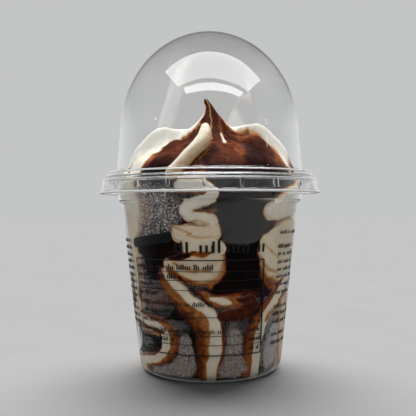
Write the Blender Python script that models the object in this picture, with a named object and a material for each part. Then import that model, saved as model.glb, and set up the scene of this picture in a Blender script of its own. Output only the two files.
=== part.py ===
"""A shut clear cup of chocolate sundae: soft ice cream and sauce under a tall dome lid.

Run with blender --background --python part.py, or from Blender's text editor. The cup stands
on its base, with the origin at the middle of the base and +Z up. The side that shows the
folded ice cream faces -Y. Sizes here are in millimetres and angles in degrees. An angle of 0
is the middle of the shown side, and positive angles go towards +X.
"""

from dataclasses import dataclass
from math import cos, pi, radians, sin, sqrt, tau

import bmesh
import bpy
import numpy as np

MM = 0.001
SEGMENTS = 40

# Cup: a tapered wall on a rounded foot, a stacking shoulder and a turned-down rim
CUP_WALL = 0.6
WALL_FOOT_RADIUS = 23.9  # the outer wall carried down to the ground
WALL_SLOPE = 0.112
FOOT_CORNER_RADIUS = 3.5
FOOT_RING_INNER_RADIUS = 18.6
FOOT_RECESS = 0.8
SHOULDER_RADIUS = 31.6
SHOULDER_HEIGHT = 57.3
SHOULDER_STEP = 1.0
RIM_RADIUS = 34.1
RIM_HEIGHT = 64.2
RIM_LIP_DROP = 0.8

# Lid: a dome on a stepped flange with a flared skirt
LID_WALL = 0.5
DOME_TOP = 115.2
DOME_CENTRE_HEIGHT = 80.0
DOME_RADIUS = 30.75
DOME_TAPER = 0.087
DOME_TAPER_BLEND = 2.0
FLANGE_TOP = 66.5
FLANGE_RADIUS = 35.6
SKIRT_TOP = 64.5
LIP_RADIUS = 37.9
LIP_HEIGHT = 60.5
LUG_COUNT = 20
LUG_WIDTH = 1.8
LUG_FIRST_ANGLE = 15.5
LUG_INNER_RADIUS = 34.5
LUG_OUTER_RADIUS = 35.8
LUG_LOW = 61.6
LUG_HIGH = 62.9

# Contents
GAP = 0.3  # between neighbouring pieces
FOOD_FLOOR = FOOT_RECESS + CUP_WALL + GAP
FOOD_COLUMNS = 72
FOOD_SIDE_ROWS = 28
FOOD_CORNER_RISE = 2.2
FOOD_TOP_RADII = (0.97, 0.91, 0.83, 0.74, 0.64, 0.53, 0.42, 0.31, 0.2, 0.11, 0.04)
FOOD_UPPER_RADIUS = 30.6  # inside the cup's shoulder
HOLLOW_DEPTH = 3.6  # how far the ice cream stands back from the wall between its folds
TOP_HOLLOW_SHARE = 0.45  # of that depth, at the height of the rim
TOP_BLEND = 1.5

# Star-nozzle peak: heights of its ridges along a radius, from the middle outwards
CREST_RADII = (0.0, 1.3, 3.2, 5.0, 7.0, 10.0, 14.0, 17.0, 20.0, 24.0, 27.0, 31.0)
CREST_HEIGHTS = (92.3, 90.2, 87.3, 84.6, 82.6, 81.6, 82.0, 82.2, 80.6, 76.6, 72.6, 67.6)
GROOVE_RADII = (0.0, 3.0, 8.0, 14.0, 20.0, 26.0, 31.0)
GROOVE_DEPTHS = (0.0, 0.9, 2.6, 5.0, 5.2, 3.6, 1.6)
PEAK_LEAN = (-1.2, -0.6)  # how far the tip leans towards +X and +Y
PEAK_LEAN_START = 80.0


@dataclass(frozen=True)
class Fold:
    """A strand of ice cream pressed on the cup's wall.

    path holds (angle, height, half width) at points along its middle, and flat is the share of
    the half width that touches the wall.
    """

    name: str
    flat: float
    path: tuple


FRONT_FOLDS = (
    Fold("stack", 0.62, ((-36, 62.6, 2.0), (-16, 62.8, 2.1), (-2, 62.2, 2.1), (2.5, 60.2, 2.2),
                         (-3, 57.8, 2.3), (-13, 56.6, 2.4), (-16.5, 54.2, 2.2), (-8, 52.2, 2.4),
                         (2, 51.0, 2.5), (3, 48.4, 2.5), (-8, 47.2, 2.9), (-21, 47.0, 2.8))),
    Fold("belly_top", 0.7, ((-16, 44.4, 3.0), (-4, 44.0, 3.6), (4, 43.0, 3.6))),
    Fold("belly", 0.8, ((-22, 35.8, 5.0), (-12, 36.4, 6.6), (-1, 37.2, 6.4), (4, 39.5, 4.6))),
    Fold("caramel_lobe", 0.3, ((-4, 28.6, 2.8), (6, 26.8, 3.4), (15, 26.2, 3.4), (25, 27.6, 3.2),
                               (33, 30.2, 2.6))),
    Fold("front_ribbon", 0.4, ((-31, 34.0, 3.6), (-24, 30.8, 4.4), (-14, 27.2, 4.6),
                               (-5, 23.8, 4.6), (1, 19.4, 4.5), (3, 14.0, 4.5), (2, 8.0, 4.4),
                               (-1, 1.0, 4.2))),
    Fold("right_ball", 0.62, ((41, 53.6, 3.4), (50, 54.0, 4.0), (62, 55.4, 4.6), (76, 58.0, 5.0))),
    Fold("right_mass", 0.75, ((42, 46.0, 2.6), (47, 42.5, 5.2), (51, 37.0, 5.0), (55, 32.5, 3.4))),
    Fold("right_ribbon", 0.4, ((72, 35.0, 4.0), (62, 30.5, 3.6), (52, 25.4, 3.6), (43, 20.0, 3.9),
                               (38, 14.0, 4.2), (34, 7.0, 4.2), (32, 1.0, 4.0))),
    Fold("far_right", 0.6, ((70, 52.0, 3.0), (71, 44.0, 3.4), (76, 36.0, 3.6))),
    Fold("low_hook", 0.36, ((-66, 20.6, 2.4), (-54, 19.6, 3.0), (-40, 19.2, 3.3),
                            (-30, 17.6, 3.6), (-26, 13.4, 3.7), (-31, 9.6, 3.6),
                            (-44, 7.4, 3.3), (-60, 5.8, 3.0), (-78, 4.6, 3.0), (-96, 4.4, 3.0))),
    Fold("left_strip", 0.5, ((-62, 58.0, 3.0), (-64, 48.0, 3.2), (-63, 36.0, 3.3),
                             (-64, 26.0, 3.0), (-72, 19.0, 3.0), (-84, 15.0, 3.2))),
    Fold("left_back", 0.5, ((-82, 62.0, 4.0), (-83, 50.0, 3.6), (-84, 38.0, 3.6),
                            (-80, 29.0, 3.4))),
)

# The back carries the same strands turned by half a turn, pulled along and down a little
BACK_TURN = 183.0
BACK_SQUASH = 0.94
BACK_STRETCH = 1.04

# Pools of sauce that fill hollows up to the wall: name and (angle, height) of a point inside
POOL_SEEDS = (
    ("sauce_pool_right", 20, 42),
    ("sauce_pool_left", -44, 38),
    ("sauce_channel_front", -16, 15),
    ("sauce_pool_hook", -48, 13),
    ("sauce_pool_back_right", 203, 39),
    ("sauce_pool_back_left", 139, 35),
)
POOL_LEAST_HOLLOW = 0.9
BORDER_SMOOTHING = 4
POOL_LOW = 4.0
POOL_HIGH = 57.0

# Ridges of the peak: (angle, height above the usual crest, half width)
RIDGES = (
    (-86, 0.0, 4.6), (-52, -2.4, 4.8), (22, -4.0, 5.2), (56, -1.6, 4.8), (88, 1.6, 4.6),
    (122, -0.6, 4.8), (158, 0.8, 4.8), (-166, -1.0, 4.8), (-124, 0.6, 4.8),
)
RIDGE_TWIST = 14.0  # degrees that a ridge turns between the wall and the middle

# The free strand that climbs the front: (angle, radius, height of its top, half width)
TOP_STRAND = ((-21, 30.0, 69.0, 2.5), (-19, 26.0, 74.0, 2.7), (-15, 21.0, 78.4, 2.9),
              (-9, 16.5, 82.0, 2.9), (-3, 13.0, 84.0, 2.5))


def smooth_path(points, steps=5):
    """Points of a Catmull-Rom curve through the given ones, steps to a span."""
    points = np.asarray(points, float)
    padded = np.vstack([2 * points[0] - points[1], points, 2 * points[-1] - points[-2]])
    out = []
    for a, b, c, d in zip(padded, padded[1:], padded[2:], padded[3:]):
        for step in range(steps):
            t = step / steps
            out.append(0.5 * (2 * b + (c - a) * t + (2 * a - 5 * b + 4 * c - d) * t**2
                              + (3 * b - a - 3 * c + d) * t**3))
    out.append(points[-1])
    return np.array(out)


def turned_angle(angle, centre):
    """The angle's difference from a centre, between -180 and 180."""
    return (angle - centre + 180.0) % 360.0 - 180.0


def inner_wall_radius(height):
    """The cup's inner wall at a height, with the wider shoulder at the top."""
    wall = WALL_FOOT_RADIUS - CUP_WALL + WALL_SLOPE * height
    rise = np.clip((height - SHOULDER_HEIGHT) / (2 * SHOULDER_STEP), 0.0, 1.0)
    blend = rise * rise * (3 - 2 * rise)
    return wall + (FOOD_UPPER_RADIUS + GAP - wall) * blend


def fold_share(angle, height, fold):
    """Distance from a fold's middle as a share of its half width, at each given point."""
    path = smooth_path(fold.path)
    share = np.full(np.shape(height), np.inf)
    for start, end in zip(path, path[1:]):
        middle = 0.5 * (start[0] + end[0])
        scale = radians(1.0) * inner_wall_radius(height)
        x = turned_angle(angle, middle) * scale
        x_start = (start[0] - middle) * scale
        x_end = (end[0] - middle) * scale
        dx, dz = x_end - x_start, end[1] - start[1]
        along = ((x - x_start) * dx + (height - start[1]) * dz) / (dx * dx + dz * dz)
        along = np.clip(along, 0.0, 1.0)
        distance = np.hypot(x - x_start - along * dx, height - start[1] - along * dz)
        share = np.minimum(share, distance / (start[2] + along * (end[2] - start[2])))
    return share


def back_fold(fold):
    """The same strand on the back of the cup."""
    path = tuple((BACK_TURN + a * BACK_STRETCH, h * BACK_SQUASH, w) for a, h, w in fold.path)
    return Fold(fold.name + "_back", fold.flat, path)


FOLDS = FRONT_FOLDS + tuple(back_fold(fold) for fold in FRONT_FOLDS)


def hollow(angle, height):
    """How far the ice cream stands back from the cup's wall."""
    depth = np.full(np.shape(height), HOLLOW_DEPTH)
    for fold in FOLDS:
        share = fold_share(angle, height, fold)
        outside = np.clip((share - fold.flat) / (1.0 - fold.flat), 0.0, 1.0)
        depth = np.minimum(depth, HOLLOW_DEPTH * (1.0 - np.sqrt(1.0 - outside**2)))
    return depth * np.interp(height, (SHOULDER_HEIGHT, RIM_HEIGHT), (1.0, TOP_HOLLOW_SHARE))


def peak_height(angle, radius):
    """The top of the ice cream over a point at an angle and a radius."""
    crest = np.interp(radius, CREST_RADII, CREST_HEIGHTS)
    groove = np.interp(radius, GROOVE_RADII, GROOVE_DEPTHS)
    twisted = angle - RIDGE_TWIST * (1.0 - radius / CREST_RADII[-1])
    top = crest - groove
    for centre, lift, half_width in RIDGES:
        across = turned_angle(twisted, centre) * radians(1.0) * np.maximum(radius, 2.0)
        round_top = np.exp(-(across / half_width) ** 2 * 1.6)
        lifted = crest + lift * np.clip(radius / 12.0, 0.0, 1.0)
        top = np.maximum(top, lifted - (groove + lift * (lift > 0)) * (1.0 - round_top))
    return np.maximum(top, strand_height(angle, radius))


def strand_height(angle, radius):
    """The top of the free strand on the front, and a very low value away from it."""
    x = radius * np.sin(np.radians(angle))
    y = radius * np.cos(np.radians(angle))
    top = np.full(np.shape(radius), -np.inf)
    path = smooth_path(TOP_STRAND)
    for start, end in zip(path, path[1:]):
        x0, y0 = start[1] * sin(radians(start[0])), start[1] * cos(radians(start[0]))
        x1, y1 = end[1] * sin(radians(end[0])), end[1] * cos(radians(end[0]))
        along = ((x - x0) * (x1 - x0) + (y - y0) * (y1 - y0)) / ((x1 - x0) ** 2 + (y1 - y0) ** 2)
        along = np.clip(along, 0.0, 1.0)
        half_width = start[3] + along * (end[3] - start[3])
        distance = np.hypot(x - x0 - along * (x1 - x0), y - y0 - along * (y1 - y0))
        share = np.clip(distance / half_width, 0.0, 1.0)
        crown = start[2] + along * (end[2] - start[2]) - half_width * (1 - np.sqrt(1 - share**2))
        top = np.maximum(top, np.where(share < 1.0, crown, -np.inf))
    return top


def offset(outline, distance):
    """The outline moved to its left by a distance, with its corners kept sharp."""
    moved = []
    for i, point in enumerate(outline):
        before = outline[max(i - 1, 0)]
        after = outline[min(i + 1, len(outline) - 1)]
        normals = []
        for start, end in ((before, point), (point, after)):
            length = sqrt((end[0] - start[0]) ** 2 + (end[1] - start[1]) ** 2)
            if length > 0:
                normals.append(((start[1] - end[1]) / length, (end[0] - start[0]) / length))
        nx = sum(n[0] for n in normals) / len(normals)
        nz = sum(n[1] for n in normals) / len(normals)
        scale = distance / (nx * nx + nz * nz)
        moved.append((max(point[0] + nx * scale, 0.0), point[1] + nz * scale))
    return moved


def cup_outline():
    """The cup's outer side from the middle of the base to the end of the rim."""
    slant = sqrt(1 + WALL_SLOPE**2)
    corner_x = WALL_FOOT_RADIUS + WALL_SLOPE * FOOT_CORNER_RADIUS - FOOT_CORNER_RADIUS * slant
    last = -np.arctan(WALL_SLOPE)
    outline = [(0.0, FOOT_RECESS), (FOOT_RING_INNER_RADIUS - 1.0, FOOT_RECESS),
               (FOOT_RING_INNER_RADIUS, 0.0)]
    for step in range(5):
        angle = -pi / 2 + (last + pi / 2) * step / 4
        outline.append((corner_x + FOOT_CORNER_RADIUS * cos(angle),
                        FOOT_CORNER_RADIUS * (1 + sin(angle))))
    wall_top = SHOULDER_HEIGHT - SHOULDER_STEP
    outline += [
        (WALL_FOOT_RADIUS + WALL_SLOPE * wall_top, wall_top),
        (SHOULDER_RADIUS - 0.2, SHOULDER_HEIGHT),
        (SHOULDER_RADIUS, SHOULDER_HEIGHT + 0.8),
        (SHOULDER_RADIUS + 0.1, RIM_HEIGHT - 0.7),
        (SHOULDER_RADIUS + 0.4, RIM_HEIGHT - 0.1),
        (RIM_RADIUS - 0.2, RIM_HEIGHT),
        (RIM_RADIUS, RIM_HEIGHT - RIM_LIP_DROP),
    ]
    return outline


def dome_radius(height):
    """The dome's outer radius at a height: a half ellipse on a wall that flares downwards."""
    rise = min(max((height - DOME_CENTRE_HEIGHT) / (DOME_TOP - DOME_CENTRE_HEIGHT), 0.0), 1.0)
    below = (DOME_CENTRE_HEIGHT - height) / DOME_TAPER_BLEND
    flare = DOME_TAPER * DOME_TAPER_BLEND * float(np.log1p(np.exp(below)))
    return DOME_RADIUS * sqrt(1 - rise * rise) + flare * (rise < 1.0)


def lid_outline():
    """The lid's outer side from the top of the dome to the edge of its lip."""
    outline = [(0.0, DOME_TOP)]
    for step in range(1, 9):
        angle = pi / 2 * (1 - step / 8)
        height = DOME_CENTRE_HEIGHT + (DOME_TOP - DOME_CENTRE_HEIGHT) * sin(angle)
        outline.append((dome_radius(height), height))
    for height in (74.0, FLANGE_TOP + 1.0):
        outline.append((dome_radius(height), height))
    outline += [
        (dome_radius(FLANGE_TOP) + 0.5, FLANGE_TOP + 0.2),
        (FLANGE_RADIUS - 1.0, FLANGE_TOP - 0.3),
        (FLANGE_RADIUS - 0.3, FLANGE_TOP - 0.6),
        (FLANGE_RADIUS, FLANGE_TOP - 1.2),
        (FLANGE_RADIUS + 0.1, SKIRT_TOP + 0.3),
        (FLANGE_RADIUS + 0.4, SKIRT_TOP - 0.2),
        (FLANGE_RADIUS + 0.9, LIP_HEIGHT + 1.6),
        (FLANGE_RADIUS + 1.4, LIP_HEIGHT + 0.8),
        (LIP_RADIUS, LIP_HEIGHT + 0.5),
    ]
    return outline


def add_object(name, bm, material):
    """A smooth-shaded object made of the mesh data, in metres."""
    bmesh.ops.recalc_face_normals(bm, faces=bm.faces)
    bmesh.ops.scale(bm, vec=(MM, MM, MM), verts=bm.verts)
    mesh = bpy.data.meshes.new(name)
    bm.to_mesh(mesh)
    bm.free()
    mesh.shade_smooth()
    mesh.set_sharp_from_angle(angle=radians(35))
    mesh.materials.append(material)
    obj = bpy.data.objects.new(name, mesh)
    bpy.context.scene.collection.objects.link(obj)
    return obj


def turned_piece(name, outline, wall, material):
    """A round shell spun from its outer side and the same side moved inwards."""
    bm = bmesh.new()
    profile = outline + offset(outline, wall)[::-1]
    verts = [bm.verts.new((x, 0.0, z)) for x, z in profile]
    edges = [bm.edges.new(pair) for pair in zip(verts, verts[1:])]
    bmesh.ops.spin(bm, geom=verts + edges, cent=(0, 0, 0), axis=(0, 0, 1), angle=tau,
                   steps=SEGMENTS, use_merge=True)
    bmesh.ops.remove_doubles(bm, verts=bm.verts, dist=1e-4)
    return add_object(name, bm, material)


def box_at_angle(name, angle, low, high, inner, outer, width):
    """A small block that stands across a radius at an angle."""
    bm = bmesh.new()
    bmesh.ops.create_cube(bm, size=1.0)
    for vert in bm.verts:
        out = inner + (outer - inner) * (vert.co.x + 0.5)
        across = width * vert.co.y
        height = low + (high - low) * (vert.co.z + 0.5)
        turn = radians(angle - 90.0)
        vert.co = (out * cos(turn) - across * sin(turn), out * sin(turn) + across * cos(turn),
                   height)
    return add_object(name, bm, None)


def make_lid(material):
    """The dome lid with its snap lugs joined on under the skirt."""
    lid = turned_piece("dome_lid", lid_outline(), -LID_WALL, material)
    lugs = bpy.data.collections.new("lugs")
    for number in range(LUG_COUNT):
        angle = LUG_FIRST_ANGLE + 360.0 * number / LUG_COUNT
        lug = box_at_angle("lug", angle, LUG_LOW, LUG_HIGH, LUG_INNER_RADIUS, LUG_OUTER_RADIUS,
                           LUG_WIDTH)
        lugs.objects.link(lug)
    union = lid.modifiers.new("lugs", "BOOLEAN")
    union.operation = "UNION"
    union.operand_type = "COLLECTION"
    union.collection = lugs
    apply_modifiers(lid)
    for lug in list(lugs.objects):
        bpy.data.objects.remove(lug)
    bpy.data.collections.remove(lugs)
    return lid


def apply_modifiers(obj):
    """Replaces an object's mesh by what its modifiers make of it."""
    depsgraph = bpy.context.evaluated_depsgraph_get()
    mesh = bpy.data.meshes.new_from_object(obj.evaluated_get(depsgraph))
    obj.modifiers.clear()
    obj.data = mesh


def food_angles():
    """The angles of the food's columns."""
    return np.arange(FOOD_COLUMNS) * 360.0 / FOOD_COLUMNS


def food_side():
    """The side's rows of points: angles, heights, hollows and the cells that each pool fills."""
    angles = food_angles()
    low = np.full(FOOD_COLUMNS, FOOD_FLOOR + FOOD_CORNER_RISE)
    high = peak_height(angles, np.full(FOOD_COLUMNS, FOOD_UPPER_RADIUS)) - TOP_BLEND
    shares = np.linspace(0.0, 1.0, FOOD_SIDE_ROWS)[:, None]
    heights = low + (high - low) * shares
    angles = np.broadcast_to(angles, heights.shape).copy()
    regions = pool_regions(heights, hollow(angles, heights))
    everywhere = np.any(list(regions.values()), axis=0)
    smooth_borders(everywhere, angles, heights)
    hollows = hollow(angles, heights)
    for i, j in zip(*np.nonzero(everywhere)):
        for a, b in cell_corners(i, j):
            b %= FOOD_COLUMNS
            hollows[a, b] = max(hollows[a, b], POOL_LEAST_HOLLOW)
    return angles, heights, hollows, regions


def cell_corners(i, j):
    """The four lattice points round a cell."""
    return (i, j), (i, j + 1), (i + 1, j + 1), (i + 1, j)


def border_edges(region):
    """The lattice edges between a region's cells and the cells beyond it."""
    rows, columns = region.shape
    for i, j in zip(*np.nonzero(region)):
        ring = cell_corners(i, j)
        beyond = ((i - 1, j), (i, j + 1), (i + 1, j), (i, j - 1))
        for (start, end), (a, b) in zip(zip(ring, ring[1:] + ring[:1]), beyond):
            if not (0 <= a < rows and region[a, b % columns]):
                yield start, end


def smooth_borders(region, angles, heights):
    """Moves the lattice points on a region's border so that its steps become smooth lines."""
    beside = {}
    for start, end in border_edges(region):
        start = (start[0], start[1] % FOOD_COLUMNS)
        end = (end[0], end[1] % FOOD_COLUMNS)
        beside.setdefault(start, []).append(end)
        beside.setdefault(end, []).append(start)
    for _ in range(BORDER_SMOOTHING):
        moved = {}
        for point, others in beside.items():
            turn = np.mean([turned_angle(angles[other], angles[point]) for other in others])
            rise = np.mean([heights[other] - heights[point] for other in others])
            moved[point] = (angles[point] + 0.5 * turn, heights[point] + 0.5 * rise)
        for point, (angle, height) in moved.items():
            angles[point] = angle
            heights[point] = height


def pool_regions(heights, hollows):
    """The cells of the side's lattice that each pool fills, by the pool's name."""
    deep = (hollows > POOL_LEAST_HOLLOW) & (heights > POOL_LOW) & (heights < POOL_HIGH)
    ahead = np.roll(deep, -1, axis=1)
    cells = without_corner_contacts(deep[:-1] & deep[1:] & ahead[:-1] & ahead[1:])
    regions = {}
    for name, angle, height in POOL_SEEDS:
        column = int(round((angle % 360.0) / 360.0 * FOOD_COLUMNS)) % FOOD_COLUMNS
        row = int(np.argmin(np.abs(heights[:, column] - height)))
        regions[name] = seeded_region(cells, row, column)
    return regions


def lattice_mesh(angles, radii, heights):
    """A closed round body from rows of points, with its first and last rows shut by a pole."""
    bm = bmesh.new()
    rows, columns = radii.shape
    turns = np.radians(angles - 90.0)
    x, y = radii * np.cos(turns), radii * np.sin(turns)
    grid = [[bm.verts.new((x[i, j], y[i, j], heights[i, j])) for j in range(columns)]
            for i in range(rows)]
    low_pole = bm.verts.new((0.0, 0.0, heights[0].mean()))
    lean_x, lean_y = PEAK_LEAN
    high_pole = bm.verts.new((lean_x, lean_y, CREST_HEIGHTS[0]))
    for j in range(columns):
        k = (j + 1) % columns
        bm.faces.new((low_pole, grid[0][k], grid[0][j]))
        bm.faces.new((high_pole, grid[-1][j], grid[-1][k]))
        for i in range(rows - 1):
            bm.faces.new((grid[i][j], grid[i][k], grid[i + 1][k]))
            bm.faces.new((grid[i][j], grid[i + 1][k], grid[i + 1][j]))
    return bm


def lean_peak(bm):
    """Moves the peak's tip aside, more with height, to give it its bent tip."""
    for vert in bm.verts:
        rise = (vert.co.z - PEAK_LEAN_START) / (CREST_HEIGHTS[0] - PEAK_LEAN_START)
        distance = vert.co.xy.length
        if rise > 0 and 0 < distance < 12.0 and vert.co.z < CREST_HEIGHTS[0] - 1e-6:
            vert.co.x += PEAK_LEAN[0] * rise**2
            vert.co.y += PEAK_LEAN[1] * rise**2


def make_ice_cream(side, material):
    """The ice cream: folds along the wall, and the star-nozzle peak on top."""
    angles, heights, hollows, _ = side
    wall = inner_wall_radius(heights) - GAP - hollows
    straight = food_angles()
    turns = [straight, straight] + list(angles)
    radii = [wall[0] * share for share in (0.5, 0.92)] + list(wall)
    levels = [straight * 0 + FOOD_FLOOR + rise for rise in (0.0, 0.3)] + list(heights)
    for share in FOOD_TOP_RADII:
        turns.append(straight)
        radii.append(wall[-1] * share)
        levels.append(peak_height(straight, wall[-1] * share))
    bm = lattice_mesh(np.array(turns), np.array(radii), np.array(levels))
    lean_peak(bm)
    return add_object("ice_cream", bm, material)


def seeded_region(cells, row, column):
    """The cells joined to the one at a row and a column, edge to edge."""
    found = np.zeros_like(cells)
    waiting = [(row, column)]
    while waiting:
        i, j = waiting.pop()
        j %= cells.shape[1]
        if 0 <= i < cells.shape[0] and cells[i, j] and not found[i, j]:
            found[i, j] = True
            waiting += [(i + 1, j), (i - 1, j), (i, j + 1), (i, j - 1)]
    return found


def without_corner_contacts(cells):
    """The same cells, less one wherever two meet only at a corner."""
    cells = cells.copy()
    changed = True
    while changed:
        changed = False
        for i in range(cells.shape[0] - 1):
            for j in range(cells.shape[1]):
                k = (j + 1) % cells.shape[1]
                a, b, c, d = cells[i, j], cells[i, k], cells[i + 1, j], cells[i + 1, k]
                if a and d and not b and not c:
                    cells[i, j] = False
                    changed = True
                elif b and c and not a and not d:
                    cells[i, k] = False
                    changed = True
    return cells


def make_pools(side, material):
    """Pools of sauce, each filling one hollow between the ice cream and the wall."""
    angles, heights, hollows, regions = side
    outer = inner_wall_radius(heights) - GAP
    inner = outer - hollows + GAP
    for name, region in regions.items():
        add_object(name, pool_mesh(region, angles, heights, inner, outer), material)


def pool_mesh(region, angles, heights, inner, outer):
    """A closed slab over the region's cells, between the inner and the outer radius."""
    bm = bmesh.new()
    made = {}

    def vert(point, radii, layer):
        i, j = point[0], point[1] % FOOD_COLUMNS
        if (i, j, layer) not in made:
            turn = radians(angles[i, j] - 90.0)
            made[i, j, layer] = bm.verts.new(
                (radii[i, j] * cos(turn), radii[i, j] * sin(turn), heights[i, j]))
        return made[i, j, layer]

    for i, j in zip(*np.nonzero(region)):
        ring = cell_corners(i, j)
        for half in ((0, 1, 2), (0, 2, 3)):
            bm.faces.new([vert(ring[corner], outer, 1) for corner in half])
            bm.faces.new([vert(ring[corner], inner, 0) for corner in reversed(half)])
    for start, end in border_edges(region):
        bm.faces.new([vert(end, outer, 1), vert(start, outer, 1), vert(start, inner, 0),
                      vert(end, inner, 0)])
    return bm


def make_material(name, colour, roughness, transmission=0.0):
    """A plain Principled material."""
    material = bpy.data.materials.new(name)
    material.use_nodes = True
    shader = material.node_tree.nodes["Principled BSDF"]
    shader.inputs["Base Color"].default_value = (*colour, 1.0)
    shader.inputs["Roughness"].default_value = roughness
    shader.inputs["Transmission Weight"].default_value = transmission
    return material


def main():
    """Builds the cup, its lid and what is in it."""
    for obj in list(bpy.data.objects):
        bpy.data.objects.remove(obj)
    cup_plastic = make_material("cup_plastic", (0.93, 0.94, 0.94), 0.08, 1.0)
    lid_plastic = make_material("lid_plastic", (0.95, 0.96, 0.96), 0.05, 1.0)
    vanilla = make_material("vanilla", (0.80, 0.72, 0.60), 0.45)
    chocolate = make_material("chocolate", (0.045, 0.02, 0.012), 0.25)
    turned_piece("cup", cup_outline(), CUP_WALL, cup_plastic)
    make_lid(lid_plastic)
    side = food_side()
    make_ice_cream(side, vanilla)
    make_pools(side, chocolate)


main()
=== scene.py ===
"""The looks of a shut clear cup of chocolate sundae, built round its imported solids.

Sizes are in millimetres and angles in degrees. Angle 0 is the middle of the shown side, which
faces -Y, and positive angles go towards +X. Meshes are scaled to metres when they are made.
"""

import logging
from collections.abc import Iterable, Sequence
from dataclasses import dataclass, field
from enum import Enum
from math import acos, atan2, cos, degrees, exp, hypot, log1p, pi, radians, sin, sqrt, tan

import bpy
import numpy as np
from mathutils import Euler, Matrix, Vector


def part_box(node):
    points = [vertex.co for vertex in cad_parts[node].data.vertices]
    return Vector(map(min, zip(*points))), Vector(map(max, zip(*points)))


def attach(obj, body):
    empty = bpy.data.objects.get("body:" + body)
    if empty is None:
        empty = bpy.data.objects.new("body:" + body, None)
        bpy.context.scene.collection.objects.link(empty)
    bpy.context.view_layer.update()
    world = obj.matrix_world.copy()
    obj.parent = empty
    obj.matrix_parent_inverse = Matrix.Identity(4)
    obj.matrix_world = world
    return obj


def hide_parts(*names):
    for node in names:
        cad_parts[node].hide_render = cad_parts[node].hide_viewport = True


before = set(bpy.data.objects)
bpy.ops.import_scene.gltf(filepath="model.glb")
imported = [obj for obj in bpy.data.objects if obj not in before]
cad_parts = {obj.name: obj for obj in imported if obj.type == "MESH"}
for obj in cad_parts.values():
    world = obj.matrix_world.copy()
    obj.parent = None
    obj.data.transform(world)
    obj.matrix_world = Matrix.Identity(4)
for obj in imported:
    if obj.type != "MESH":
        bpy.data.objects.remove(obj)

MM = 0.001
BODY = "root"
POINT_MERGE = 1e-6  # metres
DEGREE = 0.48  # millimetres to a degree on the wall
MID_NOISE = (0.3, 0.7)  # where most of a noise's values lie

Point = tuple[float, float]
Row = tuple[float, float, float]
Path = tuple[Row, ...]
Box = tuple[float, float, float, float]  # left, right, and low, high or front, back
Faces = list[tuple[int, ...]]
Colour = tuple[float, float, float]
Array = np.ndarray
Material = bpy.types.Material
Mesh = bpy.types.Mesh
Node = bpy.types.Node
Object = bpy.types.Object
Socket = bpy.types.NodeSocket
Value = float | tuple | Socket
log = logging.getLogger("sundae")


class Slot(Enum):
    """The record's material slots."""

    CUP = "cup_plastic"
    LID = "lid_plastic"
    VANILLA = "vanilla"
    CHOCOLATE = "chocolate"


# ---------------- node trees and pieces


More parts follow.
